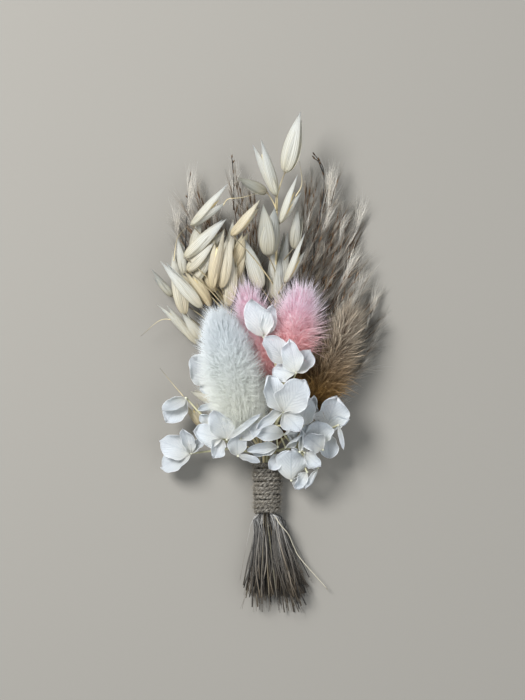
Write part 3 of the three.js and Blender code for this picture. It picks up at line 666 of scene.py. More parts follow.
def guard_hair(heap, tail, rng):
    """Long, straight, single hairs that stand out of the soft head all round."""
    count = tail.guards
    phi = np.arccos(1 - 2 * rng.uniform(0.02, 0.99, count))
    theta = rng.uniform(0, 2 * np.pi, count)
    roots, out = egg(phi, theta, mix(tail.core, tail.fluff, 0.45), np.linalg.norm(tail.tip - tail.base))
    ahead = rng.uniform(0.15, 0.9, (count, 1)) * (1 + 1.2 * np.clip(np.cos(phi), 0, 1)[:, None])
    way = unit(out + FORWARD * ahead + rng.normal(0, 0.14, out.shape))
    reach = rng.uniform(*tail.guard_length, (count, 1))
    paths = bowed(roots, way, reach, rng.normal(0, 0.06, out.shape))
    paths[:, 0] -= out
    world = settled(on_head(tail, paths))
    thick = rng.uniform(0.05, 0.085, (count, 1)) * [1.0, 0.95, 0.5]
    tubes(heap, world, thick, 3, rng.uniform(0.4, 1, count), [0.3, 0.9, 1.0], (1 - np.cos(phi)) / 2, True)


def tail_core(heap, tail, rng):
    """The dense inside of the head, which the hair leaves: an uneven egg in a middle tone of the hair."""
    rows, columns = CORE_GRID
    turn = 2 * np.pi * np.arange(columns) / columns
    phi, theta = np.meshgrid(np.linspace(0.0, np.pi, rows), turn, indexing="ij")
    places, out = egg(phi, theta, tail.dense * tail.core, np.linalg.norm(tail.tip - tail.base))
    places = on_head(tail, places + out * rng.normal(0, 0.14, (rows, columns, 1)))
    heap.add(places, [grid_faces(rows, columns, closed=True)], 0.6, (1 - np.cos(phi)) / 2, 0.4)


for name, own in tails.items():
    tail = SimpleNamespace(**(usual_head | own))
    rng = np.random.default_rng(tail.seed)
    head, stem = Heap(), Heap()
    tail_core(head, tail, rng)
    tail_hair(head, tail, rng)
    guard_hair(head, tail, rng)
    head.piece(f"{name}_head", name, tail.slot, tail.material)
    above = [mix(tail.base, tail.tip, 0.2), tail.base, *tail.via]
    through_stalk(stem, tail.at, above, rng, tail.own_way)
    stem.piece(f"{name}_stalk", name, "stalk", PALE_STALK if tail.own_way else OAT_STALK)


# Hydrangea florets: the centre, then each sepal's azimuth, length, width, rise, roll, cup and curl.
# A cup over 1 folds the sepal's sides up, and a curl bends its tip up.
hydrangeas = {
    "front_hydrangea": dict(at=lane(2, 90), via=[(1, 6, 8.5)], hub=(3, 13, 13), seed=61, florets=[
        ((9.9, 31.3, 25.2), [
            (101, 12, 8.6, 8, -18, 1.0, 0.3), (54, 9.4, 8, -20, -8, 0.5, 0), (164, 8.4, 8.4, -26, 0, 0.4, 0),
        ]),
        ((6.8, 34.8, 24.6), [(129, 11.6, 8.4, 10, 6, 0.4, -0.2)]),
        ((5.4, 17.8, 25), [
            (54, 13.9, 12.6, 12, 0, 0.8, 0.2), (119, 13.6, 9.6, 0, 24, 0.9, 0.1),
            (-46, 8.8, 8.8, -8, 0, 1.0, 0.4), (206, 10.8, 5.2, 2, 26, 1.5, 0.1),
        ]),
        ((-1.2, 43.6, 22.6), [(103, 14.2, 10, 8, -6, 0.6, 0.3), (80, 11.6, 6.2, 0, 34, 0.5, 0.2)]),
        ((5.8, 10, 18.5), [(175, 11.8, 7, 2, 12, 1.0, 0.1), (45, 8.4, 4.8, 0, 56, 1.2, 0.5)]),
        ((3.6, 5.6, 14), [(183, 10.6, 4.6, 2, 12, 1.1, 0.1), (196, 9.4, 5.6, -16, 10, 0.8, 0.2)]),
        ((8.6, 6.6, 13), [(112, 7.6, 4.6, 10, 40, 1.6, 0.3), (66, 8.4, 4.4, 4, -50, 1.4, 0.2)]),
        ((1.2, 9.6, 14.4), [(160, 6.6, 4.6, 6, 34, 1.6, 0.3), (118, 6.2, 4.2, 10, -30, 1.4, 0.2)]),
        ((6.4, 5.4, 14.6), [(50, 8.4, 4.4, 6, 58, 1.2, 0.5)]),
        ((12.2, 12.8, 17.5), [(78, 10.4, 7.4, 2, 0, 0.6, 0.1)]),
    ]),
    "left_hydrangea": dict(at=lane(2, 180), via=[(-6, 3.6, 5.6)], hub=(-12, 5, 8.5), seed=62, florets=[
        ((-13.9, 8.2, 17.6), [(108, 12.6, 8.4, 22, -10, 0.6, 0.2), (39, 16.6, 2.2, 29, 10, 0.4, -0.1)]),
        ((-15.4, 8.6, 15.4), [(170, 10.2, 8.2, 4, 8, 0.6, 0), (238, 7.6, 7.6, -4, 0, 1.3, 0.6)]),
        ((-26.4, 3.2, 9.8), [
            (156, 11.4, 9.2, 8, -10, 0.6, -0.5), (199, 12, 9, -6, 10, 0.6, -0.5),
            (106, 9.6, 7.4, 10, 8, 1.7, 0.3), (50, 6.4, 5.4, 0, -18, 1.4, 0.2),
        ]),
        ((-28.2, 22.5, 10.4), [(226, 10.8, 8.6, -2, -6, 0.6, 0.3), (213, 9.8, 5.4, 16, 14, 0.9, 0.2)]),
        ((-18.6, 27.3, 8), [(124, 12.6, 11, 6, 0, 0.6, 0.2), (205, 5, 5, -8, 0, 0.6, 0)]),
        ((-15.4, 19.4, 13.6), [(188, 8.6, 4.6, 2, 24, 1.7, 0.2)]),
        ((-20, 13.6, 13), [(128, 4.4, 4, 6, 0, 0.8, 0.2)]),
        ((-10.1, 2.5, 16), [(98, 8.4, 7.2, 8, 0, 0.8, 0.2), (-14, 7.8, 3, 6, -26, 0.7, -0.4)]),
        ((-9.2, 8.3, 17.2), [(32, 10, 5, 26, -8, 0.9, -0.1)]),
    ]),
    "right_hydrangea": dict(at=lane(2, 30), via=[(4.5, 4.2, 6.6)], hub=(9, 6, 8.5), seed=63, florets=[
        ((20.6, 11.4, 12.6), [
            (75, 13, 12.6, 10, 0, 0.8, 0.4), (22, 9.4, 6.4, 14, -26, 1.5, 0.4),
            (-82, 10.4, 8.2, -24, 16, 0.9, 0.2),
        ]),
        ((24.6, 13.2, 17.5), [(286, 8.4, 1.7, -6, 10, 0.5, 0.1)]),
        ((18, 6.4, 13.4), [(94, 8.8, 11.4, 12, 0, 0.7, 0.2)]),
        ((19.4, 4.6, 15.2), [(139, 9.2, 8.4, 12, 0, 1.0, 0.5)]),
        ((8.4, -6.2, 10.4), [(93, 12.6, 11.6, 24, 0, -0.9, 0.2), (-12, 5.4, 5, -4, 10, 0.8, 0)]),
        ((12.9, 3.7, 14.4), [(93, 10.2, 7.4, 6, 62, 0.8, 0), (-44, 7.4, 6.4, -2, 0, 1.3, 0.4)]),
        ((13.9, -3.2, 11.6), [(231, 7, 4.6, -4, 0, 1.0, 0.2)]),
        ((17.6, -1.8, 11.6), [(252, 8.4, 3.4, -6, 26, 2.0, 0.5), (162, 3.8, 3, 0, 0, 1.8, 0)]),
        ((11.3, 3.9, 15.6), [(83, 9.6, 3, 4, 34, 0.6, 0)]),
        ((5.2, 3, 11.4), [(230, 6.6, 5, -4, 0, 0.7, 0)]),
        ((15.4, 16.2, 15), [(84, 8.2, 6, 0, 10, 1.8, 0.8)]),
    ]),
}
HIGH_FLORET, WAY_ROUND = 40, (6, 0, 2)  # past that Y, a floret's stalk goes round the tail in its way
SEPAL_GRID = 19, 17
SEPAL_THICKNESS = 0.16


def sepal(heap, centre, shape, rng):
    """One sepal: a thin, crinkled blade, round in outline, from a narrow claw. Its sides and tip bend up."""
    azimuth, length, width, rise, roll, cup, curl = shape
    rows, columns = SEPAL_GRID
    v = ((1 - np.cos(np.linspace(0, np.pi, rows))) / 2)[:, None]
    u = np.sin(np.linspace(-1, 1, columns) * np.pi / 2)[None]
    side = np.sign(u)
    outline = np.sqrt(np.clip(1 - np.abs(2 * v**0.84 - 1) ** 2.7, 0.0012, 1))
    outline = outline * (0.45 + 0.55 * np.minimum(v / 0.28, 1) ** 0.8)
    outline = outline * (1 + 0.045 * np.sin(5.5 * v + rng.uniform(0, 6)) * side * np.abs(u))
    phase = rng.uniform(0, 6, 6)
    fold = 0.38 * np.sin(5 * v + phase[4] + 1.3 * side) + 0.2 * np.sin(12 * v + phase[5] + 2 * side)
    folded = cup + fold * np.minimum(v / 0.3, 1)
    folded = np.where(np.abs(folded) < 0.02, 0.02, folded)
    half = width / 2 * outline
    x = half * np.sin(folded * u) / folded
    z = half * (1 - np.cos(folded * u)) / folded
    edge = np.maximum(np.abs(u), v) ** 3.5
    ruffle = 0.5 * np.sin(7 * v + 2 * u + phase[0]) + 0.2 * np.sin(17 * v * np.abs(u) + phase[1])
    crinkle = 0.1 * np.sin(23 * v + 9 * u + phase[2]) * np.sin(13 * u - 7 * v + phase[3])
    crinkle = crinkle + 0.16 * np.sin(6 * v + 5 * u + phase[1]) * np.sin(8 * u - 5 * v + phase[0])
    midrib = 0.14 * np.exp(-((u / 0.08) ** 2)) * np.sin(np.pi * v)
    z = z + edge * ruffle * width / 7 + 0.22 * edge**3 + crinkle * np.sqrt(v) - midrib
    notch = 0.025 * length * np.exp(-((u / 0.22) ** 2)) * v**6 * rng.choice([-1, 1])
    run = 0.3 + v * length * (1 - 0.05 * u * u) + notch
    bent = curl + 0.001
    y = length * np.sin(bent * run / length) / bent - z * np.sin(bent * run / length)
    z = length * (1 - np.cos(bent * run / length)) / bent + z * np.cos(bent * run / length)
    x = x + rng.normal(0, 0.05) * length * v**2
    twist = rng.normal(0, 0.2) * v
    x, z = x * np.cos(twist) - z * np.sin(twist), z * np.cos(twist) + x * np.sin(twist)
    way, climb, tip = (math.radians(a) for a in (azimuth, rise, roll))
    along = point(math.cos(way) * math.cos(climb), math.sin(way) * math.cos(climb), math.sin(climb))
    right, ahead, out = standing(along)
    rolled = np.stack([
        right * math.cos(tip) - out * math.sin(tip), ahead, out * math.cos(tip) + right * math.sin(tip),
    ])
    grid = np.stack(np.broadcast_arrays(x, y, z), axis=-1) @ rolled + centre
    sheet(heap, kept_above(grid, SOFT_GAP), SEPAL_THICKNESS * (1 - 0.5 * edge), v, u, rng.uniform(0, 1))


for name, sprig in hydrangeas.items():
    rng = np.random.default_rng(sprig["seed"])
    petals, stems, buttons = Heap(), Heap(), Heap()
    hub = np.array(sprig["hub"], float)
    through_stalk(stems, sprig["at"], [hub, *sprig["via"]], rng)
    for centre, sepals in sprig["florets"]:
        centre = np.array(centre, float)
        foot = centre - [0, 0, 1.2]
        through = point(*mix(hub[:2], centre[:2], 0.62), mix(hub[2], foot[2], 0.25))
        if centre[1] > HIGH_FLORET:
            through = through + WAY_ROUND
        tubes(stems, bend(hub, through, foot, 12), np.linspace(0.4, 0.27, 13), 8, rng.uniform(0, 1), 0.0)
        lump(buttons, centre + [0, 0, 0.1], (0.45, 0.45, 0.36), rng.uniform(0.2, 0.8), rng)
        lump(buttons, centre - [0, 0, 0.7], (0.44, 0.44, 0.9), 0.2, rng)
        for shape in sepals:
            sepal(petals, centre, shape, rng)
    petals.piece(f"{name}_sepals", name, "sepal", SEPAL)
    stems.piece(f"{name}_stalks", name, "stalk", GREEN_STALK)
    buttons.piece(f"{name}_buttons", name, "sepal", BUTTON)


# Oat panicles: the axis above the binding, then each spikelet's foot, its one or two tips, its width, and
# its gold: 1 for golden husks, 0 for bleached ones, and below 0 for thin, greyish ones, painted darker as
# shade where they look dim. Awns are hair-thin and cross the bunch.
oats = {
    "upper_oats": dict(at=lane(1, 300), seed=71, axis=[(2, 30, 3.2), (3, 60, 8), (3.3, 92, 14)], spikelets=[
        ((6.2, 100.4, 19), [(11.5, 121.4, 21)], 6.6, 0.0),
        ((3.2, 92.4, 18), [(-4.5, 110.3, 19), (-2.2, 112, 21)], 5.8, 0.0),
        ((4.2, 83, 16.5), [(10.4, 99.9, 18), (11.6, 93.8, 16)], 4.2, 0.1),
        ((0.3, 71.5, 17.5), [(-1.2, 89.7, 19), (2.2, 88.6, 18.2)], 10.4, -0.35),
        ((9.2, 74.2, 12.5), [(10.6, 88.4, 13)], 4, -0.3),
        ((6, 62.3, 16), [(13.3, 79.4, 18), (12.9, 73.4, 16)], 4, 0.1),
        ((4.2, 55, 11), [(4.5, 72, 12)], 4.8, -0.2),
        ((0.1, 93.8, 14.5), [(-10.2, 99, 14.5)], 4, -0.5),
        ((-12.5, 78.6, 20.5), [(-2, 90.9, 20.5), (-2.8, 88.4, 19.4)], 5.2, 0.7),
        ((-1.9, 60.3, 12.5), [(-7.4, 77.6, 13)], 5.8, -0.15),
        ((4.6, 58.6, 10.5), [(7.2, 80.4, 11.5)], 4.4, -0.1),
        ((1.6, 57, 9), [(3.4, 77, 9.5)], 4, 0.1),
    ], awns=[[(9.8, 92.3, 17), (12, 96.7, 17.5), (11.2, 104.5, 18)]]),
    "left_oats": dict(at=lane(1, 180), seed=72, axis=[
        (-8, 30, 4), (-13, 50, 7), (-17, 70, 11), (-18, 82, 13),
    ], spikelets=[
        ((-26.6, 82.3, 15), [(-13.4, 96.8, 16), (-14, 90.6, 15)], 4.8, 0.0),
        ((-28.7, 70.9, 17), [(-14, 84.6, 18)], 4.8, 0.05),
        ((-27.8, 66.6, 16), [(-18.2, 76.4, 17)], 4.6, 0.3),
        ((-19, 60, 17), [(-15, 81, 18), (-18.4, 78.5, 16)], 5.4, 0.75),
        ((-16, 60.4, 15.4), [(-12.2, 79, 16.4)], 5, 0.55),
        ((-13.6, 54, 13), [(-12, 73, 14)], 5, 0.5),
        ((-12.4, 67, 12), [(-6.7, 80, 12.5)], 4.4, 1.0),
        ((-11.9, 62.8, 11), [(-7, 75.5, 11.5)], 4, 0.9),
        ((-28.9, 65.4, 13), [(-31, 78, 13.5)], 3.4, 0.0),
        ((-28.6, 51.2, 10), [(-33, 73.6, 10)], 5.6, 0.35),
        ((-22.4, 53.6, 16), [(-37, 70, 17)], 4.4, 0.0),
        ((-19.6, 54, 14), [(-28.8, 66.8, 15), (-25, 67.2, 14)], 4.6, 1.0),
        ((-33, 57.8, 7.5), [(-40.6, 66.9, 8), (-39, 64.6, 7)], 4.2, -0.2),
        ((-17.4, 59.5, 12), [(-23, 67.5, 12.6)], 4, 0.9),
        ((-26, 73, 11), [(-22.8, 84.2, 12)], 3.4, 0.2),
        ((-21.4, 64, 9.5), [(-18.4, 83.4, 10)], 4.4, 0.6),
        ((-25.4, 62.6, 14), [(-17.4, 74.6, 15)], 4.2, 0.3),
        ((-23.6, 69.4, 14.5), [(-14.8, 81, 15)], 3.8, 0.3),
        ((-14.4, 66.6, 10), [(-11.6, 84.6, 10.5)], 4.4, 0.5),
        ((-10.6, 57, 9.5), [(-9.2, 71, 10)], 4.6, 0.6),
        ((-17.2, 60.6, 12.6), [(-13.8, 78.4, 13.4)], 5, 0.6),
        ((-22.2, 54.6, 12), [(-30.4, 67.8, 12.6)], 4.4, 1.0),
    ], awns=[
        [(-32.4, 70, 12), (-31.3, 77.4, 14), (-28.8, 80.9, 15), (-26.6, 82.5, 15)],
        [(-15.2, 89.3, 16), (-13.5, 91.4, 18), (-8.8, 91.8, 22), (-0.7, 93.9, 23)],
    ]),
    "lower_oats": dict(at=lane(2, 210), seed=73, axis=[
        (-9, 20, 2.6), (-17, 34, 5), (-20.5, 37.5, 7),
    ], spikelets=[
        ((-23.8, 41, 9), [(-38, 55.4, 9), (-35.2, 54.6, 10)], 4.4, 0.2),
        ((-23, 42.8, 11.5), [(-29.6, 52, 12)], 3.8, 0.3),
        ((-18.6, 21, 7), [(-26.6, 24.7, 7.5)], 3.2, 0.4),
        ((-23.6, 12.8, 6), [(-28.6, 20.8, 6.5), (-24.4, 20.8, 6)], 4, 0.7),
        ((-14.7, 20.3, 5.2), [(-21, 26.4, 6)], 3.8, 0.5),
    ], awns=[
        [(-30.5, 49, 9), (-36.8, 49.7, 9), (-44, 44, 7)],
        [(-29, 22.9, 8), (-33, 27.6, 9), (-37.3, 32.9, 9)],
    ]),
}


HUSK_GRID = 16, 17
HUSK_THICKNESS = 0.14
AWN_POINTS = 20
# Of a spikelet's width: each husk's width when the two part or lie closed, and its depth.
PARTED_WIDTH, CLOSED_WIDTH, HUSK_DEPTH = 0.76, 0.9, 0.22


def route_at(route, y):
    """Where a route of rising Y reaches the height y."""
    return np.array([np.interp(y, route[:, 1], route[:, k]) for k in range(3)])


def glume(heap, foot, tip, width, outward, depth, gold, rng):
    """One husk of a spikelet: half a slim boat with its keel outward, widest low down, with raised nerves."""
    rows, columns = HUSK_GRID
    v = np.linspace(0, 1, rows)[:, None]
    a = np.linspace(-1, 1, columns)[None]
    axis = tip - foot
    long = unit(axis)
    outward = unit(outward - (outward @ long) * long)
    side = np.cross(long, outward)
    swell = (v + 0.004) ** 0.58 * (1.004 - v) ** 1.12 / 0.3402
    span = 1.15 + 0.25 * (1 - v)
    x = width / 2 * swell * np.sin(a * span) / np.sin(span)
    nerves = 0.05 * np.cos(a * 4.5 * np.pi) * np.minimum(swell, 1)
    out = depth * swell * (np.cos(a * span) - 0.3) + nerves
    curl = rng.uniform(-0.3, 0.9) * v**2.5
    slack = 0.14 * np.sin(9 * v + rng.uniform(0, 6)) * np.abs(a) ** 3
    lay = rng.uniform(-0.25, 0.25) * np.sin(np.pi * v) * width / 6
    spine = foot + axis * v[..., None]
    grid = spine + side * (x + lay)[..., None] + outward * (out + curl + slack)[..., None]
    thickness = HUSK_THICKNESS * (1 - 0.5 * np.abs(a) ** 3)
    sheet(heap, kept_above(grid, HAIR_GAP), thickness, v, a, gold + rng.normal(0, 0.06))


def grain(heap, foot, tip, width, rng):
    """The slim floret inside the husks, with a fine point."""
    v = np.linspace(0, 1, 12)
    thick = width / 2 * np.sin(np.pi * (0.04 + 0.94 * v) ** 0.8) ** 0.9 + 0.05
    tubes(heap, foot + (tip - foot) * v[:, None], thick, 8, rng.uniform(0, 1))


def pedicel(heap, axis, foot, tip, rng):
    """The thin stem that a spikelet hangs on, from the panicle's axis to a small collar at its foot."""
    gap = math.hypot(foot[0] - route_at(axis, foot[1])[0], 4)
    root = route_at(axis, foot[1] - min(max(1.15 * gap, 5), 18))
    through = point(mix(root[0], foot[0], 0.45), mix(root[1], foot[1], 0.6), max(root[2], foot[2]))
    thick = np.linspace(0.26, 0.17, 15)
    thick[-2:] = 0.3, 0.42
    tubes(heap, bend(root, through, foot + 0.02 * (tip - foot), 14), thick, 7, rng.uniform(0, 1))


def spikelet(husks, grains, foot, tips, width, gold, rng):
    """Husks round two slim florets. Two tips part the husks, and one leaves them closed over a third."""
    parted = len(tips) > 1
    aim = unit(tips[0] - foot)
    side = unit(np.cross(aim, UP))
    above = unit(UP - (UP @ aim) * aim)
    if parted:
        swing = np.sign((tips[0] - tips[1]) @ side)
        ways = [swing * side * 0.75 + above * 0.75, -swing * side * 0.55 + above * 0.85]
    else:
        lean = rng.uniform(-0.35, 0.35)
        ways = [above + side * lean, -above + side * (0.5 + lean)]
        swing = rng.choice([-1, 1])
        second = tips[0] + swing * side * rng.uniform(0.8, 1.7) - above * 1.2 - aim * rng.uniform(0.5, 3)
        tips = [tips[0], second]
    wide = (PARTED_WIDTH if parted else CLOSED_WIDTH) * width
    for tip, way in zip(tips, ways):
        glume(husks, foot, tip, wide, way, HUSK_DEPTH * width, gold, rng)
    middle = foot + (mix(tips[0], tips[1], 0.5) - foot) * rng.uniform(0.66, 0.8)
    grain(grains, foot + 0.6 * aim, middle, 0.34 * width, rng)
    grain(grains, foot + 0.6 * aim + 0.3 * side, middle + 0.9 * side - 2 * aim, 0.26 * width, rng)
    if not parted:
        inner = mix(foot, tips[0], 0.88) + swing * 0.7 * side - 0.3 * above
        glume(husks, foot + 0.5 * aim, inner, 0.6 * width, above + swing * side, 0.18 * width, gold, rng)


for name, panicle in oats.items():
    rng = np.random.default_rng(panicle["seed"])
    husks, grains, stems = Heap(), Heap(), Heap()
    axis = np.array([in_lane(panicle["at"], STALK_TOP), *panicle["axis"]])
    through_stalk(stems, panicle["at"], panicle["axis"][::-1], rng)
    for foot, tips, width, gold in panicle["spikelets"]:
        foot, tips = np.array(foot, float), np.array(tips, float)
        pedicel(stems, axis, foot, tips[0], rng)
        spikelet(husks, grains, foot, tips, width, gold, rng)
    for awn in panicle["awns"]:
        route = resampled(smooth_route(awn, 8), AWN_POINTS)
        tubes(stems, route, np.linspace(0.16, 0.07, AWN_POINTS), 5, 0.9)
    husks.piece(f"{name}_husks", name, "oat", HUSK)
    grains.piece(f"{name}_grains", name, "oat", GRAIN)
    stems.piece(f"{name}_stalks", name, "stalk", OAT_STALK)


# Reed plumes: the culm's tip comes first, then the twigs that fork from it. Wisps are silver hair, with
# their foot and tip, how wide they spread and how many hairs. Bare twigs stand dark out of the plumes.
reeds = {
    "upper_reeds": dict(at=lane(2, 300), seed=3, tips=[
        (23.2, 102, 7), (33.4, 73.5, 2), (32.6, 82.5, 0.5), (24.9, 76.5, 3), (13.3, 79.5, 8), (29.8, 86, 1.6),
        (18.5, 85, 5), (26.6, 90.5, 4), (15.8, 100, 9),
    ], wisps=[
        ((21.2, 88, 9), (23.2, 105.6, 9), 4.2, 62), ((19.5, 80, 9), (23.8, 93, 9.5), 3.6, 34),
        ((27, 73.5, 5), (32.6, 82.5, 5), 1.2, 12), ((30.5, 80, 2.5), (34.3, 93, 3), 4, 34),
        ((12.6, 78, 9), (15.4, 91, 10), 3, 14), ((24.5, 76, 6), (28.6, 89, 5), 3.6, 26),
        ((26, 62, 6), (34, 78, 4), 4.4, 36),
    ], bare_twigs=[
        [(17.6, 82, 9), (18.6, 86.7, 9), (19.7, 94.2, 9), (19.7, 100.6, 9), (18.9, 103.8, 9),
         (16.1, 107.9, 9)],
        [(19.4, 101.2, 9), (17.8, 104.8, 9.4), (16.2, 106, 9.6)],
    ]),
    "right_reeds": dict(at=lane(2, 330), seed=5, tips=[
        (38, 58, 2), (27.6, 26, 4), (32.6, 31.5, 2.4), (35.6, 36.5, 1.4), (38.4, 43, 2.6), (39, 50, 0.9),
        (30.4, 55, 2.2), (34.8, 63.5, 4),
    ], wisps=[
        ((31, 55, 4), (34, 68, 5), 4, 34), ((34.4, 45.5, 5), (36.4, 53, 5.5), 0.8, 9),
        ((34, 36, 3), (40.2, 50, 3), 2.6, 32), ((30, 29.5, 3), (37.4, 38.5, 3), 2, 24),
        ((36, 50, 3), (39.4, 63, 3), 2.8, 26), ((28, 50, 7), (32, 62, 7), 3.4, 22),
    ], bare_twigs=[]),
    "left_reeds": dict(at=lane(2, 240), seed=7, tips=[
        (-25, 97, 6), (-30, 73.5, 2), (-31, 83.5, 0.5), (-25.6, 88, 8), (-29, 90, 3),
    ], wisps=[
        ((-27.6, 86, 6), (-25.8, 104.4, 7), 3, 36), ((-31.4, 77, 3), (-31, 92, 4), 3.4, 26),
    ], bare_twigs=[[(-28.6, 74, 3), (-28.1, 84, 4), (-27.6, 95, 5), (-26.6, 101, 6)]]),
    "back_reeds": dict(at=lane(2, 270), seed=9, tips=[
        (-11.2, 102.5, 7), (-18.6, 89, 4), (-5.9, 96, 9),
    ], wisps=[
        ((-12, 90, 7), (-10.8, 103.4, 8), 3, 22), ((-19, 80, 6), (-18, 93, 6), 3, 16),
    ], bare_twigs=[[(-11.6, 88, 6), (-11.7, 98, 7), (-12.3, 106.8, 8)]]),
}
SIDE_TWIGS = 2
TWIG_STEPS = 24
HAIR_PAST_TWIG = 2.6
TWIG_HUSKS = 16
TUFT = 18  # hairs to a husk


def twig_route(root, tip):
    through = point(mix(root[0], tip[0], 0.25), mix(root[1], tip[1], 0.4), min(root[2], 1.2))
    return bend(root, through, tip, TWIG_STEPS)


def plume(husks, hairs, route, rng):
    """Slim husks along the outer part of a twig, each with a tuft of long silky hair that points ahead."""
    tangents = unit(np.gradient(route, axis=0))
    husk_paths, husk_radii, hair_paths, hair_radii, tones, heights = [], [], [], [], [], []
    for k in range(TWIG_HUSKS):
        share = mix(0.4, 0.99, (k + rng.uniform(0.1, 0.9)) / TWIG_HUSKS)
        spot = share * (len(route) - 1)
        low = min(int(spot), len(route) - 2)
        foot = mix(route[low], route[low + 1], spot - low)
        turn = GOLDEN_ANGLE * k + rng.uniform(-0.4, 0.4)
        aside = point(math.cos(turn), 0, 0.8 * math.sin(turn))
        way = unit(tangents[low] + aside * rng.uniform(0.16, 0.5))
        reach = rng.uniform(3.2, 5.6)
        husk_paths.append(foot + way * np.linspace(0, reach, 5)[:, None])
        husk_radii.append(rng.uniform(0.6, 1.5) * np.array([0.05, 0.17, 0.16, 0.1, 0.02]))
        starts = foot + way * rng.uniform(0.1, 0.6 * reach, (TUFT, 1))
        ways = unit(way + rng.normal(0, 0.11, (TUFT, 3)))
        droop = rng.normal(0, 0.08, 3) + rng.normal(0, 0.07, (TUFT, 3))
        lengths = rng.uniform(4.5, 10.0, (TUFT, 1))
        hair_paths.append(bowed(starts, ways, lengths, droop))
        hair_radii.append(rng.uniform(0.032, 0.063, (TUFT, 1)) * [1.0, 0.8, 0.1])
        tones.append(np.clip(rng.beta(1.2, 1.6) + rng.normal(0, 0.2, TUFT), 0, 1))
        heights.append(share)
    tubes(husks, husk_paths, husk_radii, 5, rng.uniform(0, 1, TWIG_HUSKS))
    paths = kept_above(np.concatenate(hair_paths), SOFT_GAP)
    across = np.repeat(heights, TUFT)
    tubes(hairs, paths, np.concatenate(hair_radii), 3, np.concatenate(tones), across=across, pointed=True)


def wisp(hairs, foot, tip, spread, count, rng):
    """Long silver hairs that run side by side from a plume's twig, and part a little at their ends."""
    foot, tip = np.array(foot, float), np.array(tip, float)
    starts = mix(foot, tip, rng.uniform(0, 0.55, (count, 1))) + rng.normal(0, 0.16 * spread, (count, 3))
    ends = mix(foot, tip, rng.uniform(0.72, 1.06, (count, 1))) + rng.normal(0, 0.42 * spread, (count, 3))
    middles = mix(starts, ends, 0.5) + rng.normal(0, 0.12 * spread, (count, 3))
    paths = kept_above(np.stack([starts, middles, ends], axis=1), SOFT_GAP)
    thick = rng.uniform(0.03, 0.05, (count, 1)) * [1.0, 0.9, 0.4]
    tubes(hairs, paths, thick, 3, rng.uniform(0.6, 1, count), [0.8, 0.95, 1.0], 1.0, True)


def bare_twig(straws, husks, knots, rng):
    """A dark twig without hair, a little crooked, with a few small buds."""
    route = resampled(smooth_route(knots, 6), 22)
    route = route + rng.normal(0, 0.05, route.shape)
    tubes(straws, route, np.linspace(0.22, 0.13, 22), 6, 0.0)
    for k in (9, 14, 18, 20):
        way = unit(unit(route[k + 1] - route[k]) + rng.normal(0, 0.25, 3))
        tubes(husks, route[k] + way * np.linspace(0, 1.6, 4)[:, None], [0.1, 0.26, 0.2, 0.03], 5, 0.0)


for name, bunch in reeds.items():
    rng = np.random.default_rng(bunch["seed"])
    hairs, husks, straws = Heap(), Heap(), Heap()
    root = in_lane(bunch["at"], STALK_TOP)
    tips = np.array(bunch["tips"], float)
    culm = twig_route(root, tips[0])
    for k, tip in enumerate(tips):
        fork = culm[round((0.04 + 0.42 * k / len(tips)) * TWIG_STEPS)] if k else root
        ahead = unit(tip - fork)
        for side in range(1 + SIDE_TWIGS):
            aside, shorter, lift = 0, 0, 0
            if side:
                aside = rng.uniform(0.7, 2.4) * (-1) ** side
                shorter, lift = rng.uniform(1, 7), rng.uniform(-0.6, 1.8)
            end = tip - ahead * (HAIR_PAST_TWIG + shorter) + unit(np.cross(ahead, UP)) * aside
            end[2] = max(end[2] + lift, 0.6)
            route = twig_route(fork, end)
            tubes(husks, route, np.linspace(0.3, 0.12, len(route)), 6, rng.uniform(0, 0.6), 0.2)
            plume(husks, hairs, route, rng)
    for foot, tip, spread, count in bunch["wisps"]:
        wisp(hairs, foot, tip, spread, count, rng)
    for knots in bunch["bare_twigs"]:
        bare_twig(straws, husks, knots, rng)
    brush(straws, bunch["at"], rng, STALK_TOP)
    hairs.piece(f"{name}_plume", name, "reed", PLUME_HAIR)
    husks.piece(f"{name}_husks", name, "reed", REED_HUSK)
    straws.piece(f"{name}_straws", name, "stalk", GRASS_STRAW)


# Grass bunches that only fill the binding.
GRASS_TOP = 5
for k, at in enumerate([lane(2, 60), lane(2, 150), lane(1, 240), lane(1, 0), lane(0, 0)]):
    straws = Heap()
    brush(straws, at, np.random.default_rng(51 + k), GRASS_TOP)
    straws.piece(f"grass_straws_{k + 1}", f"grass_stalks_{k + 1}", "stalk", GRASS_STRAW)


# The binding: one long piece of two-ply twine in close turns, pressed flat where it lies, with loose fibres.
STEPS_A_TURN = 68
FIRST_ANGLE = 1.1
END_INSET = 0.85
TWINE_FLOOR = 0.86
PLY_RADIUS, PLY_OFFSET, PLY_TWIST = 0.56, 0.37, 7.6
YARN_SIDES = 9
LOOSE_FIBRES = 1400


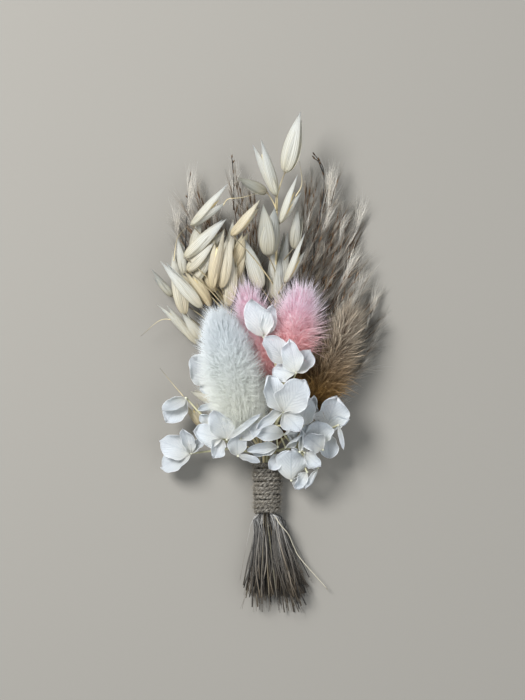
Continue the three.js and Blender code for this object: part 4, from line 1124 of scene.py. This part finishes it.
def twine_binding(rng):
    yarn, fuzz = Heap(), Heap()
    turns = BIND_LENGTH / TWINE - 0.9
    steps = int(turns * STEPS_A_TURN)
    turn = np.linspace(0, 2 * np.pi * turns, steps)
    share = np.linspace(0, 1, steps)
    y = mix(-END_INSET, -BIND_LENGTH + END_INSET, share)
    y = y + 0.15 * np.sin(turn * 0.7) + 0.11 * np.sin(turn * 2.3)
    radius = mix(BIND_RADIUS_TOP, BIND_RADIUS_END, share) - 0.74 + 0.09 * np.sin(turn * 1.3 + 1)
    round_it = turn + FIRST_ANGLE
    middle = np.stack([radius * np.cos(round_it), y, BIND_HEIGHT + radius * np.sin(round_it)], axis=1)
    middle = kept_above(middle, TWINE_FLOOR)
    out = unit((middle - [0, 0, BIND_HEIGHT]) * [1, 0, 1])
    beside = unit(np.cross(np.gradient(middle, axis=0), out))
    for ply in range(2):
        angle = np.pi * ply - turn * PLY_TWIST
        path = middle + PLY_OFFSET * (out * np.cos(angle)[:, None] + beside * np.sin(angle)[:, None])
        thick = PLY_RADIUS + 0.04 * np.sin(turn * 3.7 + ply) + rng.normal(0, 0.008, steps)
        tubes(yarn, kept_above(path, thick + 0.02), thick, YARN_SIDES, 0.3 + 0.4 * ply)
        yarn.values[-1][:, 1] = np.tile(np.arange(YARN_SIDES) / YARN_SIDES, steps)
    spots = rng.integers(4, steps - 4, LOOSE_FIBRES)
    spots = spots[middle[spots, 2] > 1.2]
    count = len(spots)
    flow = unit(np.gradient(middle, axis=0))[spots] * rng.choice([-1, 1], (count, 1))
    lift = out[spots] * rng.uniform(0.08, 0.75, (count, 1)) + beside[spots] * rng.normal(0, 0.35, (count, 1))
    roots = middle[spots] + out[spots] * 0.55 + beside[spots] * rng.uniform(-0.5, 0.5, (count, 1))
    way = unit(flow + lift)
    lengths = rng.uniform(0.8, 3, (count, 1))
    paths = bowed(roots, way, lengths, rng.normal(0, 0.3, (count, 3)))
    thick = rng.uniform(0.025, 0.05, (count, 1)) * [1, 0.8, 0.2]
    tubes(fuzz, paths, thick, 3, rng.uniform(0, 1, count), pointed=True)
    yarn.piece("twine", "twine_wrap", "twine", JUTE)
    fuzz.piece("twine_fuzz", "twine_wrap", "twine", JUTE_FUZZ)


twine_binding(np.random.default_rng(81))


# Floor, light and camera.
def soft_lamp(name, place, size, power, tint):
    """A round lamp that faces the origin."""
    lamp = bpy.data.lights.new(name, "AREA")
    lamp.shape, lamp.size, lamp.energy, lamp.color = "DISK", size, power, tint
    made = bpy.data.objects.new(name, lamp)
    made.location = place
    made.rotation_mode = "QUATERNION"
    made.rotation_quaternion = (-Vector(place)).to_track_quat("-Z", "Y")
    bpy.context.collection.objects.link(made)


def stage_floor():
    mesh = bpy.data.meshes.new("floor")
    half = 3.0
    corners = [(-half, -half, 0), (half, -half, 0), (half, half, 0), (-half, half, 0)]
    mesh.from_pydata(corners, [], [(0, 1, 2, 3)])
    plain = bpy.data.materials.new("plain_floor")
    plain.use_nodes = True
    body = plain.node_tree.nodes["Principled BSDF"]
    body.inputs["Base Color"].default_value = colour("#88847c")
    body.inputs["Roughness"].default_value = 0.7
    mesh.materials.append(plain)
    floor = bpy.data.objects.new("floor", mesh)
    floor.location.z = -0.0001
    bpy.context.collection.objects.link(floor)


stage_floor()
soft_lamp("window_light", (-0.45, 0.35, 0.75), 0.4, 12.7, (0.97, 0.98, 1.0))
soft_lamp("room_light", (0.5, -0.25, 0.8), 0.9, 2.9, (0.94, 0.96, 1.0))
world = bpy.data.worlds.new("room")
world.use_nodes = True
background = world.node_tree.nodes["Background"]
background.inputs["Color"].default_value = (0.88, 0.94, 1.0, 1.0)
background.inputs["Strength"].default_value = 0.5
bpy.context.scene.world = world
bpy.context.scene.view_settings.view_transform = "Standard"

camera = bpy.data.cameras.new("camera")
camera.sensor_fit = "AUTO"
camera.sensor_width = SENSOR
camera.lens = SENSOR * CAMERA_HEIGHT / (PHOTO_HEIGHT * MM_PER_PIXEL)
camera.clip_start, camera.clip_end = 0.05, 20
looking = bpy.data.objects.new("camera", camera)
looking.location = tuple((PHOTO_MIDDLE + ORIGIN + [0, 0, CAMERA_HEIGHT]) * MM)
bpy.context.collection.objects.link(looking)
bpy.context.scene.camera = looking
